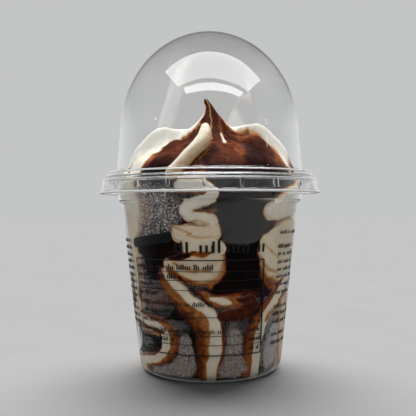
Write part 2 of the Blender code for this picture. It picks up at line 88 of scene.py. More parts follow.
class Sheet:
    """A node tree with short calls for the nodes that the finishes and shapes share."""

    def __init__(self, tree: bpy.types.NodeTree) -> None:
        """Keeps the tree."""
        self.tree = tree

    def feed(self, socket: Socket, value: Value) -> None:
        """Links a socket to another one, or sets its plain value.

        Args:
            socket: The socket.
            value: The socket that feeds it, or its value.
        """
        if isinstance(value, Socket):
            self.tree.links.new(value, socket)
        else:
            socket.default_value = value

    def node(self, kind: str, inputs: dict | None = None, **settings: object) -> Node:
        """Adds a node.

        Args:
            kind: The node's type.
            inputs: Values or sockets for its inputs, by name or number.
            settings: The node's own properties.

        Returns:
            The new node.
        """
        made = self.tree.nodes.new(kind)
        for name, value in settings.items():
            setattr(made, name, value)
        for key, value in (inputs or {}).items():
            self.feed(made.inputs[key], value)
        return made

    def typed(self, kind: str, inputs: dict[str, Value], **settings: str) -> Socket:
        """Adds a node that has a set of sockets for each type of value.

        Args:
            kind: The node's type.
            inputs: Values or sockets for its inputs in use, by name.
            settings: The node's own properties, such as its type of value.

        Returns:
            The output in use.
        """
        made = self.node(kind, **settings)
        for socket in made.inputs:
            if socket.enabled and socket.name in inputs:
                self.feed(socket, inputs[socket.name])
        return next(output for output in made.outputs if output.enabled)

    def math(self, operation: str, *values: Value, clamp: bool = False) -> Socket:
        """The result of a Math node on one or two values."""
        return self.node("ShaderNodeMath", dict(enumerate(values)), operation=operation,
                         use_clamp=clamp).outputs[0]

    def plus(self, first: Value, second: Value, clamp: bool = False) -> Socket:
        """Two values added up."""
        return self.math("ADD", first, second, clamp=clamp)

    def minus(self, first: Value, second: Value) -> Socket:
        """The first value less the second."""
        return self.math("SUBTRACT", first, second)

    def times(self, first: Value, second: Value, clamp: bool = False) -> Socket:
        """Two values multiplied."""
        return self.math("MULTIPLY", first, second, clamp=clamp)

    def towards(self, share: Value, first: Value, second: Value) -> Socket:
        """The first value carried a share of the way to the second."""
        return self.plus(first, self.times(share, self.minus(second, first)))

    def spread(self, value: Value, low: float, high: float, to_low: float = 0.0,
               to_high: float = 1.0, kind: str = "SMOOTHSTEP") -> Socket:
        """A value carried from one range to another.

        Args:
            value: The value.
            low: Where its own range starts.
            high: Where it ends.
            to_low: The result up to low.
            to_high: The result from high on.
            kind: The way between them.

        Returns:
            The result.
        """
        keys = ("Value", "From Min", "From Max", "To Min", "To Max")
        inputs = dict(zip(keys, (value, low, high, to_low, to_high)))
        return self.node("ShaderNodeMapRange", inputs, interpolation_type=kind).outputs[0]

    def varied(self, noise: Value, low: float, high: float, kind: str = "SMOOTHSTEP") -> Socket:
        """Noise carried from where most of its values lie to a range."""
        return self.spread(noise, *MID_NOISE, low, high, kind)

    def attribute(self, name: str) -> Socket:
        """The mesh's own value of that name."""
        return self.node("ShaderNodeAttribute", attribute_name=name).outputs["Fac"]

    def place(self) -> Socket:
        """The point on the object, in metres."""
        return self.node("ShaderNodeTexCoord").outputs["Object"]

    def parts(self, vector: Value) -> bpy.types.NodeOutputs:
        """A vector's X, Y and Z."""
        return self.node("ShaderNodeSeparateXYZ", {0: vector}).outputs

    def grain(self, size: float, detail: float = 2.0, roughness: float = 0.5) -> Socket:
        """Noise whose blobs are about size millimetres across, around 0.5."""
        inputs = {"Vector": self.place(), "Scale": 1.0 / (size * MM), "Detail": detail,
                  "Roughness": roughness}
        return self.node("ShaderNodeTexNoise", inputs).outputs["Fac"]

    def ramp(self, value: Value, stops: Sequence[tuple[float, Colour]]) -> Socket:
        """A colour read from a ramp.

        Args:
            value: Where on the ramp.
            stops: Pairs of a place and a linear colour.

        Returns:
            The colour socket.
        """
        made = self.node("ShaderNodeValToRGB", {"Fac": value})
        elements = made.color_ramp.elements
        while len(elements) < len(stops):
            elements.new(1.0)
        for element, (place, colour) in zip(elements, stops):
            element.position = place
            element.color = (*colour, 1.0)
        return made.outputs["Color"]

    def grey(self, value: Value) -> Socket:
        """A grey as bright as a value."""
        return self.node("ShaderNodeCombineColor", {0: value, 1: value, 2: value}).outputs[0]

    def blend(self, share: Value, first: Value, second: Value, mode: str = "MIX") -> Socket:
        """Two colours mixed.

        Args:
            share: The second one's share.
            first: A colour.
            second: A colour.
            mode: How the second is laid on the first.

        Returns:
            The mixed colour.
        """
        made = self.node("ShaderNodeMix", data_type="RGBA", blend_type=mode)
        for number, value in ((0, share), (6, first), (7, second)):
            self.feed(made.inputs[number], (*value, 1.0) if isinstance(value, tuple) else value)
        return made.outputs[2]

    def bump(self, height: Value, strength: float, depth: float,
             normal: Socket | None = None) -> Socket:
        """A normal bent by a height.

        Args:
            height: The height, from 0 to 1.
            strength: How much of it shows.
            depth: Millimetres from its lowest to its highest.
            normal: The normal that is bent, if not the surface's own.

        Returns:
            The bent normal.
        """
        inputs = {"Height": height, "Strength": strength, "Distance": depth * MM}
        if normal is not None:
            inputs["Normal"] = normal
        return self.node("ShaderNodeBump", inputs).outputs[0]

    def turned(self, radius: Value, angle: Value, height: Value) -> Socket:
        """A point from its distance from the axis, its angle in radians and its height."""
        x = self.times(radius, self.math("SINE", angle))
        y = self.times(self.times(radius, -1.0), self.math("COSINE", angle))
        return self.node("ShaderNodeCombineXYZ", {"X": x, "Y": y, "Z": height}).outputs[0]


def blank_sheet(owner: Material | bpy.types.World) -> Sheet:
    """The emptied node tree of a material or a world."""
    owner.use_nodes = True
    owner.node_tree.nodes.clear()
    return Sheet(owner.node_tree)


def link_object(name: str, data: bpy.types.ID) -> Object:
    """A new object in the scene, at the origin."""
    made = bpy.data.objects.new(name, data)
    bpy.context.scene.collection.objects.link(made)
    return made


def add_piece(name: str, mesh: Mesh, material: Material, slot: Slot,
              nodes: Sequence[str] = ()) -> None:
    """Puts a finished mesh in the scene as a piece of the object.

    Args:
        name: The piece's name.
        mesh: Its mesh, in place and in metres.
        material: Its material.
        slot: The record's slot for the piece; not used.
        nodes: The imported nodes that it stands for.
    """
    mesh.materials.clear()
    mesh.materials.append(material)
    piece = link_object(name, mesh)
    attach(piece, BODY)
    if nodes:
        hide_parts(*nodes)
    log.info("%s: %d faces", name, len(mesh.polygons))


def faced_out(mesh: Mesh) -> Mesh:
    """Turns a closed body's faces outwards.

    Args:
        mesh: The closed mesh.

    Returns:
        The same mesh.
    """
    mesh.calc_loop_triangles()
    points = np.empty(len(mesh.vertices) * 3)
    mesh.vertices.foreach_get("co", points)
    corners = np.empty(len(mesh.loop_triangles) * 3, int)
    mesh.loop_triangles.foreach_get("vertices", corners)
    a, b, c = points.reshape(-1, 3)[corners.reshape(-1, 3)].transpose(1, 0, 2)
    if np.einsum("ij,ij->i", a, np.cross(b, c)).sum() < 0:  # six times its volume
        mesh.flip_normals()
    return mesh


def mesh_of(name: str, points: Array, faces: Iterable[Sequence[int]], **values: Array) -> Mesh:
    """A smooth closed mesh in metres.

    Args:
        name: Its name.
        points: Its points in millimetres.
        faces: Its faces as rows of point numbers.
        values: One number a point under each name, for its material.

    Returns:
        The mesh, with its faces outwards.
    """
    mesh = bpy.data.meshes.new(name)
    mesh.from_pydata((np.asarray(points, float) * MM).tolist(), [], [list(f) for f in faces])
    mesh.update()
    faced_out(mesh).shade_smooth()
    for key, value in values.items():
        layer = mesh.attributes.new(key, "FLOAT", "POINT")
        layer.data.foreach_set("value", np.asarray(value, np.float32).ravel())
    return mesh


def new_tree(name: str, inputs: dict[str, str]) -> tuple[Sheet, bpy.types.NodeOutputs]:
    """An empty Geometry Nodes tree.

    Args:
        name: Its name.
        inputs: The kind of socket of each named input after the mesh.

    Returns:
        The tree's sheet and the sockets of its inputs.
    """
    tree = bpy.data.node_groups.new(name, "GeometryNodeTree")
    tree.interface.new_socket("Mesh", in_out="INPUT", socket_type="NodeSocketGeometry")
    for key, kind in inputs.items():
        tree.interface.new_socket(key, in_out="INPUT", socket_type=f"NodeSocket{kind}")
    tree.interface.new_socket("Mesh", in_out="OUTPUT", socket_type="NodeSocketGeometry")
    sheet = Sheet(tree)
    return sheet, sheet.node("NodeGroupInput").outputs


def end_tree(sheet: Sheet, geometry: Socket, material: Socket) -> None:
    """Ends a tree in real geometry with its material.

    Args:
        sheet: The tree.
        geometry: What it has made.
        material: Its material's socket.
    """
    real = sheet.node("GeometryNodeRealizeInstances", {0: geometry})
    shown = sheet.node("GeometryNodeSetMaterial",
                       {"Geometry": real.outputs[0], "Material": material})
    sheet.node("NodeGroupOutput", {0: shown.outputs[0]})


def grown_mesh(name: str, source: Mesh, sheet: Sheet, values: dict) -> Mesh:
    """The plain mesh that a tree makes of a source mesh.

    Args:
        name: The new mesh's name.
        source: The mesh that the tree starts from.
        sheet: The tree.
        values: A value for each of the tree's named inputs.

    Returns:
        The mesh, with its faces outwards and no modifier left.
    """
    carrier = link_object(name, source)
    modifier = carrier.modifiers.new(name, "NODES")
    modifier.node_group = sheet.tree
    for item in sheet.tree.interface.items_tree:
        if item.in_out == "INPUT" and item.name in values:
            modifier[item.identifier] = values[item.name]
    depsgraph = bpy.context.evaluated_depsgraph_get()
    mesh = bpy.data.meshes.new_from_object(carrier.evaluated_get(depsgraph))
    mesh.name = name
    carrier.modifiers.remove(modifier)
    bpy.data.objects.remove(carrier)
    return faced_out(mesh)


# ---------------- shared shapes


def smooth_path(points: Sequence[Sequence[float]], steps: int = 5) -> Array:
    """Points of a Catmull-Rom curve through the given ones.

    Args:
        points: Rows of numbers.
        steps: Points to a span.

    Returns:
        The curve's rows, from the first point to the last.
    """
    rows = np.asarray(points, float)
    padded = np.vstack([2 * rows[0] - rows[1], rows, 2 * rows[-1] - rows[-2]])
    out = []
    for a, b, c, d in zip(padded, padded[1:], padded[2:], padded[3:]):
        for step in range(steps):
            t = step / steps
            out.append(0.5 * (2 * b + (c - a) * t + (2 * a - 5 * b + 4 * c - d) * t**2
                              + (3 * b - a - 3 * c + d) * t**3))
    return np.array([*out, rows[-1]])


def turned_angle(angle: Array, centre: float) -> Array:
    """The angle's difference from a centre, between -180 and 180."""
    return (angle - centre + 180.0) % 360.0 - 180.0


def eased(value: Array, low: float, high: float) -> Array:
    """A smooth step from 0 at low to 1 at high."""
    t = np.clip((value - low) / (high - low), 0.0, 1.0)
    return t * t * (3 - 2 * t)


def fading(share: Array, soft: float) -> Array:
    """From 1 inside an edge to 0 outside it, where the edge is at 1 and soft to both sides."""
    return 1.0 - eased(share, 1.0 - soft, 1.0 + soft)


def value_noise(u: Array, v: Array, columns: int, rows: int, seed: int) -> Array:
    """Smooth noise between -1 and 1 that closes up over u.

    Args:
        u: Place round the object, 0 to 1.
        v: Place up the object, 0 to 1.
        columns: Blobs round the object.
        rows: Blobs up the object.
        seed: The draw.

    Returns:
        The noise at each point.
    """
    grid = np.random.default_rng(seed).uniform(-1, 1, (rows + 2, columns))
    x = (u % 1.0) * columns
    y = np.clip(v, 0.0, 1.0) * rows
    i, j = np.floor(y).astype(int), np.floor(x).astype(int)
    ty, tx = eased(y - i, 0, 1), eased(x - j, 0, 1)
    j, k = j % columns, (j + 1) % columns
    low = grid[i, j] * (1 - tx) + grid[i, k] * tx
    high = grid[i + 1, j] * (1 - tx) + grid[i + 1, k] * tx
    return low * (1 - ty) + high * ty


def offset(outline: Sequence[Point], distance: float) -> list[Point]:
    """Moves an outline sideways, with its corners kept sharp.

    Args:
        outline: Its points.
        distance: How far it moves to its left.

    Returns:
        The moved points.
    """
    moved = []
    for before, point, after in zip([outline[0], *outline], outline, [*outline[1:], outline[-1]]):
        normals = []
        for start, end in ((before, point), (point, after)):
            length = hypot(end[0] - start[0], end[1] - start[1])
            if length > 0:
                normals.append(((start[1] - end[1]) / length, (end[0] - start[0]) / length))
        nx, nz = (sum(side) / len(normals) for side in zip(*normals))
        scale = distance / (nx * nx + nz * nz)
        moved.append((max(point[0] + nx * scale, 0.0), point[1] + nz * scale))
    return moved


def rounded(corners: Sequence[Row], turn: float = 12.0) -> list[Point]:
    """An outline with arcs at its corners.

    Args:
        corners: Each corner's radius from the axis, height and fillet radius.
        turn: Degrees of arc to a point.

    Returns:
        The outline's points.
    """
    out = [corners[0][:2]]
    for before, here, after in zip(corners, corners[1:], corners[2:]):
        a = np.array(before[:2]) - here[:2]
        b = np.array(after[:2]) - here[:2]
        a, b = a / np.linalg.norm(a), b / np.linalg.norm(b)
        between = acos(float(np.clip(a @ b, -1, 1)))
        if here[2] <= 0 or pi - between < 0.02:
            out.append(here[:2])
            continue
        middle = (a + b) / np.linalg.norm(a + b)
        centre = np.array(here[:2]) + middle * here[2] / sin(between / 2)
        reach = here[2] / tan(between / 2)
        start, end = here[:2] + a * reach - centre, here[:2] + b * reach - centre
        first = atan2(start[1], start[0])
        swing = (atan2(end[1], end[0]) - first + pi) % (2 * pi) - pi
        steps = max(2, round(abs(degrees(swing)) / turn))
        for step in range(steps + 1):
            angle = first + swing * step / steps
            out.append((float(centre[0] + here[2] * cos(angle)),
                        float(centre[1] + here[2] * sin(angle))))
    return [*out, corners[-1][:2]]


def lattice(turns: Array, radii: Array, heights: Array) -> Array:
    """Points from angles, radii and heights, as rows of x, y and z."""
    across = np.radians(turns - 90.0)
    return np.stack([radii * np.cos(across), radii * np.sin(across), heights], axis=-1)


def ring_faces(rows: int, columns: int) -> Faces:
    """Quads between the rings of a round lattice whose rows go up.

    Args:
        rows: How many rings.
        columns: Points to a ring.

    Returns:
        The faces.
    """
    faces = []
    for low in range(0, (rows - 1) * columns, columns):
        for j in range(columns):
            k = (j + 1) % columns
            faces.append((low + j, low + k, low + columns + k, low + columns + j))
    return faces


def closed_faces(rows: int, columns: int) -> Faces:
    """The faces of a round lattice that two more points close, below and above it.

    Args:
        rows: How many rings.
        columns: Points to a ring.

    Returns:
        The faces.
    """
    faces = ring_faces(rows, columns)
    low, last = rows * columns, (rows - 1) * columns
    for j in range(columns):
        k = (j + 1) % columns
        faces += [(low, k, j), (low + 1, last + j, last + k)]
    return faces


class Lathe:
    """A Geometry Nodes tree that turns a closed profile round the axis."""

    def __init__(self) -> None:
        """Builds the tree."""
        inputs = {"Profile Points": "Int", "Segments": "Int", "Material": "Material"}
        self.sheet, given = new_tree("turned_shell", inputs)
        sheet = self.sheet
        seam = sheet.plus(given["Segments"], 1.0)
        grid = sheet.node("GeometryNodeMeshGrid", {
            "Vertices X": given["Profile Points"], "Vertices Y": seam})
        index = sheet.node("GeometryNodeInputIndex").outputs[0]
        row = sheet.math("FLOOR", sheet.math("DIVIDE", sheet.plus(index, 0.5), seam))
        column = sheet.minus(index, sheet.times(row, seam))
        position = sheet.node("GeometryNodeInputPosition").outputs[0]
        parts = sheet.parts(sheet.typed("GeometryNodeSampleIndex", {
            "Geometry": given["Mesh"], "Value": position, "Index": row},
            data_type="FLOAT_VECTOR", domain="POINT"))
        angle = sheet.times(sheet.math("DIVIDE", column, given["Segments"]), 2 * pi)
        moved = sheet.node("GeometryNodeSetPosition", {
            "Geometry": grid.outputs["Mesh"],
            "Position": sheet.turned(parts["X"], angle, parts["Z"])})
        merged = sheet.node("GeometryNodeMergeByDistance",
                            {"Geometry": moved.outputs[0], "Distance": POINT_MERGE})
        smooth = sheet.node("GeometryNodeSetShadeSmooth", {"Geometry": merged.outputs[0]})
        end_tree(sheet, smooth.outputs[0], given["Material"])

    def shell(self, name: str, outline: list[Point], wall: float, segments: int,
              material: Material) -> Mesh:
        """Turns a wall that starts and ends on the axis.

        Args:
            name: The mesh's name.
            outline: Radius and height of its outer points, from one end to the other.
            wall: Its thickness, to the left of the outline or, below zero, to the right.
            segments: Faces round the axis.
            material: Its material.

        Returns:
            The closed mesh.
        """
        profile = outline + offset(outline, wall)[::-1]
        source = bpy.data.meshes.new(name + "_profile")
        source.from_pydata([(radius * MM, 0.0, height * MM) for radius, height in profile],
                           [(i, i + 1) for i in range(len(profile) - 1)], [])
        return grown_mesh(name, source, self.sheet, {
            "Profile Points": len(profile), "Segments": segments, "Material": material})


# ---------------- finishes


@dataclass(frozen=True)
class Finish:
    """A finish with one Principled shader, whose inputs each kind of finish gives."""

    name: str

    def inputs(self, sheet: Sheet) -> dict[str, Value]:
        """What the shader's sockets take."""
        raise NotImplementedError

    def surface(self, sheet: Sheet) -> Socket:
        """The finished shader."""
        return sheet.node("ShaderNodeBsdfPrincipled", self.inputs(sheet)).outputs[0]

    def material(self) -> Material:
        """The finish as a new material."""
        material = bpy.data.materials.new(self.name)
        sheet = blank_sheet(material)
        sheet.node("ShaderNodeOutputMaterial", {"Surface": self.surface(sheet)})
        return material


@dataclass(frozen=True)
class ClearPlastic(Finish):
    """Thin clear moulded plastic, faintly wavy, with fine haze."""

    tint: Colour = (0.985, 0.99, 0.99)
    index: float = 1.49
    haze: float = 0.05
    haze_grain: float = 1.4
    wave: float = 0.02
    wave_length: float = 9.0
    milk: float = 0.0  # the share that scatters light diffusely; on the lid's rolled edges it makes a painted highlight
    painted_top_shade: float = 0.0  # painted shade: how much its colour is darkened towards the top of the dome
    painted_top_shade_from: float = 100.0
    painted_top_shade_full: float = 113.0
    passing: tuple[float, ...] = (0.95, 0.95, 0.95, 1.0)  # of the lamps' light

    def inputs(self, sheet: Sheet) -> dict[str, Value]:
        """Glass with haze and waves, with painted shade darkening its colour towards the top if
        asked.
        """
        haze = sheet.spread(sheet.grain(self.haze_grain, 4.0, 0.6), 0.35, 0.75, 0.01, self.haze)
        colour = (*self.tint, 1.0)
        if self.painted_top_shade > 0:
            # painted shade: the colour goes towards black near the top of the dome
            top_shade_share = sheet.spread(sheet.parts(sheet.place())["Z"], self.painted_top_shade_from * MM,
                                 self.painted_top_shade_full * MM, 0.0, self.painted_top_shade)
            colour = sheet.blend(top_shade_share, self.tint, (0.0, 0.0, 0.0))
        waves = sheet.grain(self.wave_length, 1.0)
        return {"Base Color": colour, "Roughness": haze, "IOR": self.index,
                "Transmission Weight": 1.0 - self.milk,
                "Normal": sheet.bump(waves, self.wave, 1.0)}

    def surface(self, sheet: Sheet) -> Socket:
        """The plastic, which lets the studio's lamps through to what it holds."""
        shown = super().surface(sheet)
        open_way = sheet.node("ShaderNodeBsdfTransparent", {"Color": self.passing}).outputs[0]
        path = sheet.node("ShaderNodeLightPath").outputs
        for kind in ("Is Shadow Ray", "Is Diffuse Ray"):
            shown = sheet.node("ShaderNodeMixShader",
                               {0: path[kind], 1: shown, 2: open_way}).outputs[0]
        return shown


# Sauce from none to thick, as it shows over ice cream
SAUCE_STOPS = (
    (0.0, (0.85, 0.83, 0.75)),
    (0.14, (0.75, 0.65, 0.49)),
    (0.28, (0.55, 0.31, 0.13)),
    (0.42, (0.30, 0.085, 0.013)),
    (0.60, (0.095, 0.018, 0.005)),
    (0.78, (0.030, 0.0055, 0.003)),
    (1.0, (0.002, 0.001, 0.001)),
)


@dataclass(frozen=True)
class RippledIceCream(Finish):
    """Soft vanilla ice cream with sauce smeared into it."""

    name: str = "rippled_ice_cream"
    coarse: float = 2.2  # millimetres across
    fine: float = 0.5
    ragged: float = 0.16
    wall_tint: Colour = (0.90, 0.82, 0.72)  # of cream pressed on the wall, below the lid
    tint_from: float = 64.0
    tint_full: float = 48.0
    mist_tint: Colour = (0.60, 0.59, 0.55)
    specular: float = 0.06

    def inputs(self, sheet: Sheet) -> dict[str, Value]:
        """Colour from the mesh's own sauce values, made ragged by noise."""
        fine = sheet.grain(self.fine, 3.0, 0.6)
        sauce = sheet.attribute("sauce")
        shift = sheet.plus(
            sheet.times(sheet.minus(sheet.grain(self.coarse, 3.0, 0.6), 0.5), self.ragged * 1.6),
            sheet.times(sheet.minus(fine, 0.5), self.ragged))
        middle = sheet.times(sheet.times(sauce, sheet.minus(1.0, sauce)), 4.0)
        amount = sheet.plus(sauce, sheet.times(shift, middle), clamp=True)
        colour = sheet.ramp(amount, SAUCE_STOPS)
        low = sheet.spread(sheet.parts(sheet.place())["Z"], self.tint_from * MM,
                           self.tint_full * MM)
        colour = sheet.blend(low, colour, sheet.blend(1.0, colour, self.wall_tint, "MULTIPLY"))
        patch = sheet.varied(sheet.grain(4.0, 3.0, 0.6), 0.90, 1.06, "LINEAR")
        spots = sheet.spread(sheet.grain(1.5, 5.0, 0.7), 0.36, 0.64, 0.55, 1.5, "LINEAR")
        brown = sheet.spread(amount, 0.26, 0.5)
        patch = sheet.grey(sheet.times(patch, sheet.towards(brown, 1.0, spots)))
        colour = sheet.blend(1.0, colour, patch, "MULTIPLY")
        crystals = sheet.spread(sheet.grain(0.6, 4.0, 0.7), 0.42, 0.62, 0.35, 1.3)
        mist = sheet.times(sheet.attribute("mist"), crystals, clamp=True)
        rough = sheet.plus(sheet.spread(amount, 0.15, 0.8, 0.55, 0.30),
                           sheet.varied(fine, -0.06, 0.06, "LINEAR"))
        normal = sheet.bump(fine, 0.5, 0.10)
        return {"Base Color": sheet.blend(mist, colour, self.mist_tint), "Roughness": rough,
                "Normal": sheet.bump(sheet.grain(1.5, 3.0, 0.6), 0.4, 0.30, normal),
                "Specular IOR Level": self.specular, "Subsurface Weight": 0.10,
                "Subsurface Radius": (1.0, 0.7, 0.4), "Subsurface Scale": 0.8 * MM}


@dataclass(frozen=True)
class GlossySauce(Finish):
    """Thick chocolate sauce pressed on the wall, amber where it thins out at its edge."""

    name: str = "glossy_sauce"
    blotch: float = 2.2  # millimetres across
    shift: float = 0.07
    specular: float = 0.03

    def inputs(self, sheet: Sheet) -> dict[str, Value]:
        """Colour from the mesh's own sauce values, as on the ice cream beside it."""
        noise = sheet.grain(self.blotch, 3.0, 0.6)
        shift = sheet.varied(noise, -self.shift, self.shift, "LINEAR")
        amount = sheet.plus(sheet.attribute("sauce"), shift, clamp=True)
        return {"Base Color": sheet.ramp(amount, SAUCE_STOPS),
                "Roughness": sheet.varied(sheet.grain(1.8, 2.0), 0.32, 0.44, "LINEAR"),
                "Specular IOR Level": self.specular,
                "Normal": sheet.bump(sheet.grain(4.0, 1.0), 0.3, 0.15)}


@dataclass(frozen=True)
class FrostFilm(Finish):
    """Frozen mist on the inside of the wall, patchy and finely speckled."""

    name: str = "frost_film"
    brown: Colour = (0.31, 0.235, 0.195)
    grey: Colour = (0.58, 0.56, 0.53)
    crystal: float = 0.7  # millimetres across
    cloud: float = 3.2

    def inputs(self, sheet: Sheet) -> dict[str, Value]:
        """A coat whose cover and colour follow the mesh's own values."""
        speckle = sheet.attribute("speckle")
        crystals = sheet.grain(self.crystal, 4.0, 0.7)
        cloud = sheet.grain(self.cloud, 3.0, 0.6)
        spots = sheet.spread(crystals, 0.46, 0.60, 0.0, 2.2)
        even = sheet.times(sheet.varied(crystals, 0.82, 1.12), sheet.varied(cloud, 0.88, 1.08))
        cover = sheet.plus(sheet.times(spots, speckle),
                           sheet.times(even, sheet.minus(1.0, speckle)))
        colour = sheet.blend(sheet.attribute("pale"), self.brown, self.grey)
        tone = sheet.grey(sheet.spread(crystals, 0.35, 0.65, 0.82, 1.15, "LINEAR"))
        return {"Base Color": sheet.blend(1.0, colour, tone, "MULTIPLY"),
                "Roughness": sheet.varied(cloud, 0.6, 0.8),
                "Alpha": sheet.times(cover, sheet.attribute("frost"), clamp=True),
                "Specular IOR Level": 0.2, "Normal": sheet.bump(crystals, 0.4, 0.15)}


@dataclass(frozen=True)
class FrostGrain(Finish):
    """Small ice crystals that sit on the frosted wall."""

    name: str = "frost_grain"

    def inputs(self, sheet: Sheet) -> dict[str, Value]:
        """White ice that varies a little from grain to grain."""
        tone = sheet.grain(0.8, 1.0)
        colour = sheet.ramp(tone, ((0.3, (0.42, 0.38, 0.34)), (0.7, (0.80, 0.79, 0.77))))
        return {"Base Color": colour, "Roughness": sheet.varied(tone, 0.25, 0.5)}


@dataclass(frozen=True)
class PrintInk(Finish):
    """Black ink, a little uneven where it was pressed on."""

    name: str = "print_ink"

    def inputs(self, sheet: Sheet) -> dict[str, Value]:
        """Near black, with worn spots."""
        worn = sheet.spread(sheet.grain(0.35, 3.0, 0.6), 0.55, 0.75)
        colour = sheet.blend(worn, (0.006, 0.006, 0.007), (0.030, 0.028, 0.027))
        return {"Base Color": colour, "Roughness": sheet.spread(worn, 0.0, 1.0, 0.38, 0.6)}


@dataclass(frozen=True)
class FloorPaper(Finish):
    """Pale paper, faintly uneven, that shades as plain paper does."""

    name: str = "floor_paper"
    tone: float = 0.5
    uneven: float = 0.015

    def surface(self, sheet: Sheet) -> Socket:
        """A dull shader."""
        tone = sheet.varied(sheet.grain(30.0, 3.0), (1.0 - self.uneven) * self.tone,
                            (1.0 + self.uneven) * self.tone)
        return sheet.node("ShaderNodeBsdfDiffuse", {"Color": sheet.grey(tone)}).outputs[0]


# ---------------- cup and lid


@dataclass
class Cup:
    """The clear cup: a tapered wall on a rounded foot, a stacking shoulder and a rim."""

    wall: float = 0.6
    foot_radius: float = 23.9  # the outer wall carried down to the ground
    slope: float = 0.112
    corner: float = 3.5
    ring_radius: float = 18.6
    recess: float = 0.8
    shoulder_radius: float = 31.6
    shoulder_height: float = 57.3
    shoulder_step: float = 1.0
    rim_radius: float = 34.1
    rim_height: float = 64.2
    lip_drop: float = 0.8
    segments: int = 224

    def outer_radius(self, height: Array) -> Array:
        """The tapered wall's outer radius at a height."""
        return self.foot_radius + self.slope * height

    def outline(self) -> list[Point]:
        """The outer side from the middle of the base to the end of the rim."""
        wall_top = self.shoulder_height - self.shoulder_step
        return rounded((
            (0.0, self.recess, 0.0),
            (self.ring_radius - 1.0, self.recess, 0.7),
            (self.ring_radius, 0.0, 0.3),
            (self.foot_radius, 0.0, self.corner),
            (self.outer_radius(wall_top), wall_top, 0.5),
            (self.shoulder_radius - 0.1, self.shoulder_height + 0.1, 0.7),
            (self.shoulder_radius + 0.1, self.rim_height, 0.4),
            (self.rim_radius, self.rim_height, 0.5),
            (self.rim_radius, self.rim_height - self.lip_drop, 0.0),
        ))

    def build(self, lathe: Lathe, finish: ClearPlastic) -> None:
        """Makes the cup's shell."""
        material = finish.material()
        mesh = lathe.shell("cup_shell", self.outline(), self.wall, self.segments, material)
        add_piece("cup_shell", mesh, material, Slot.CUP, ["cup"])


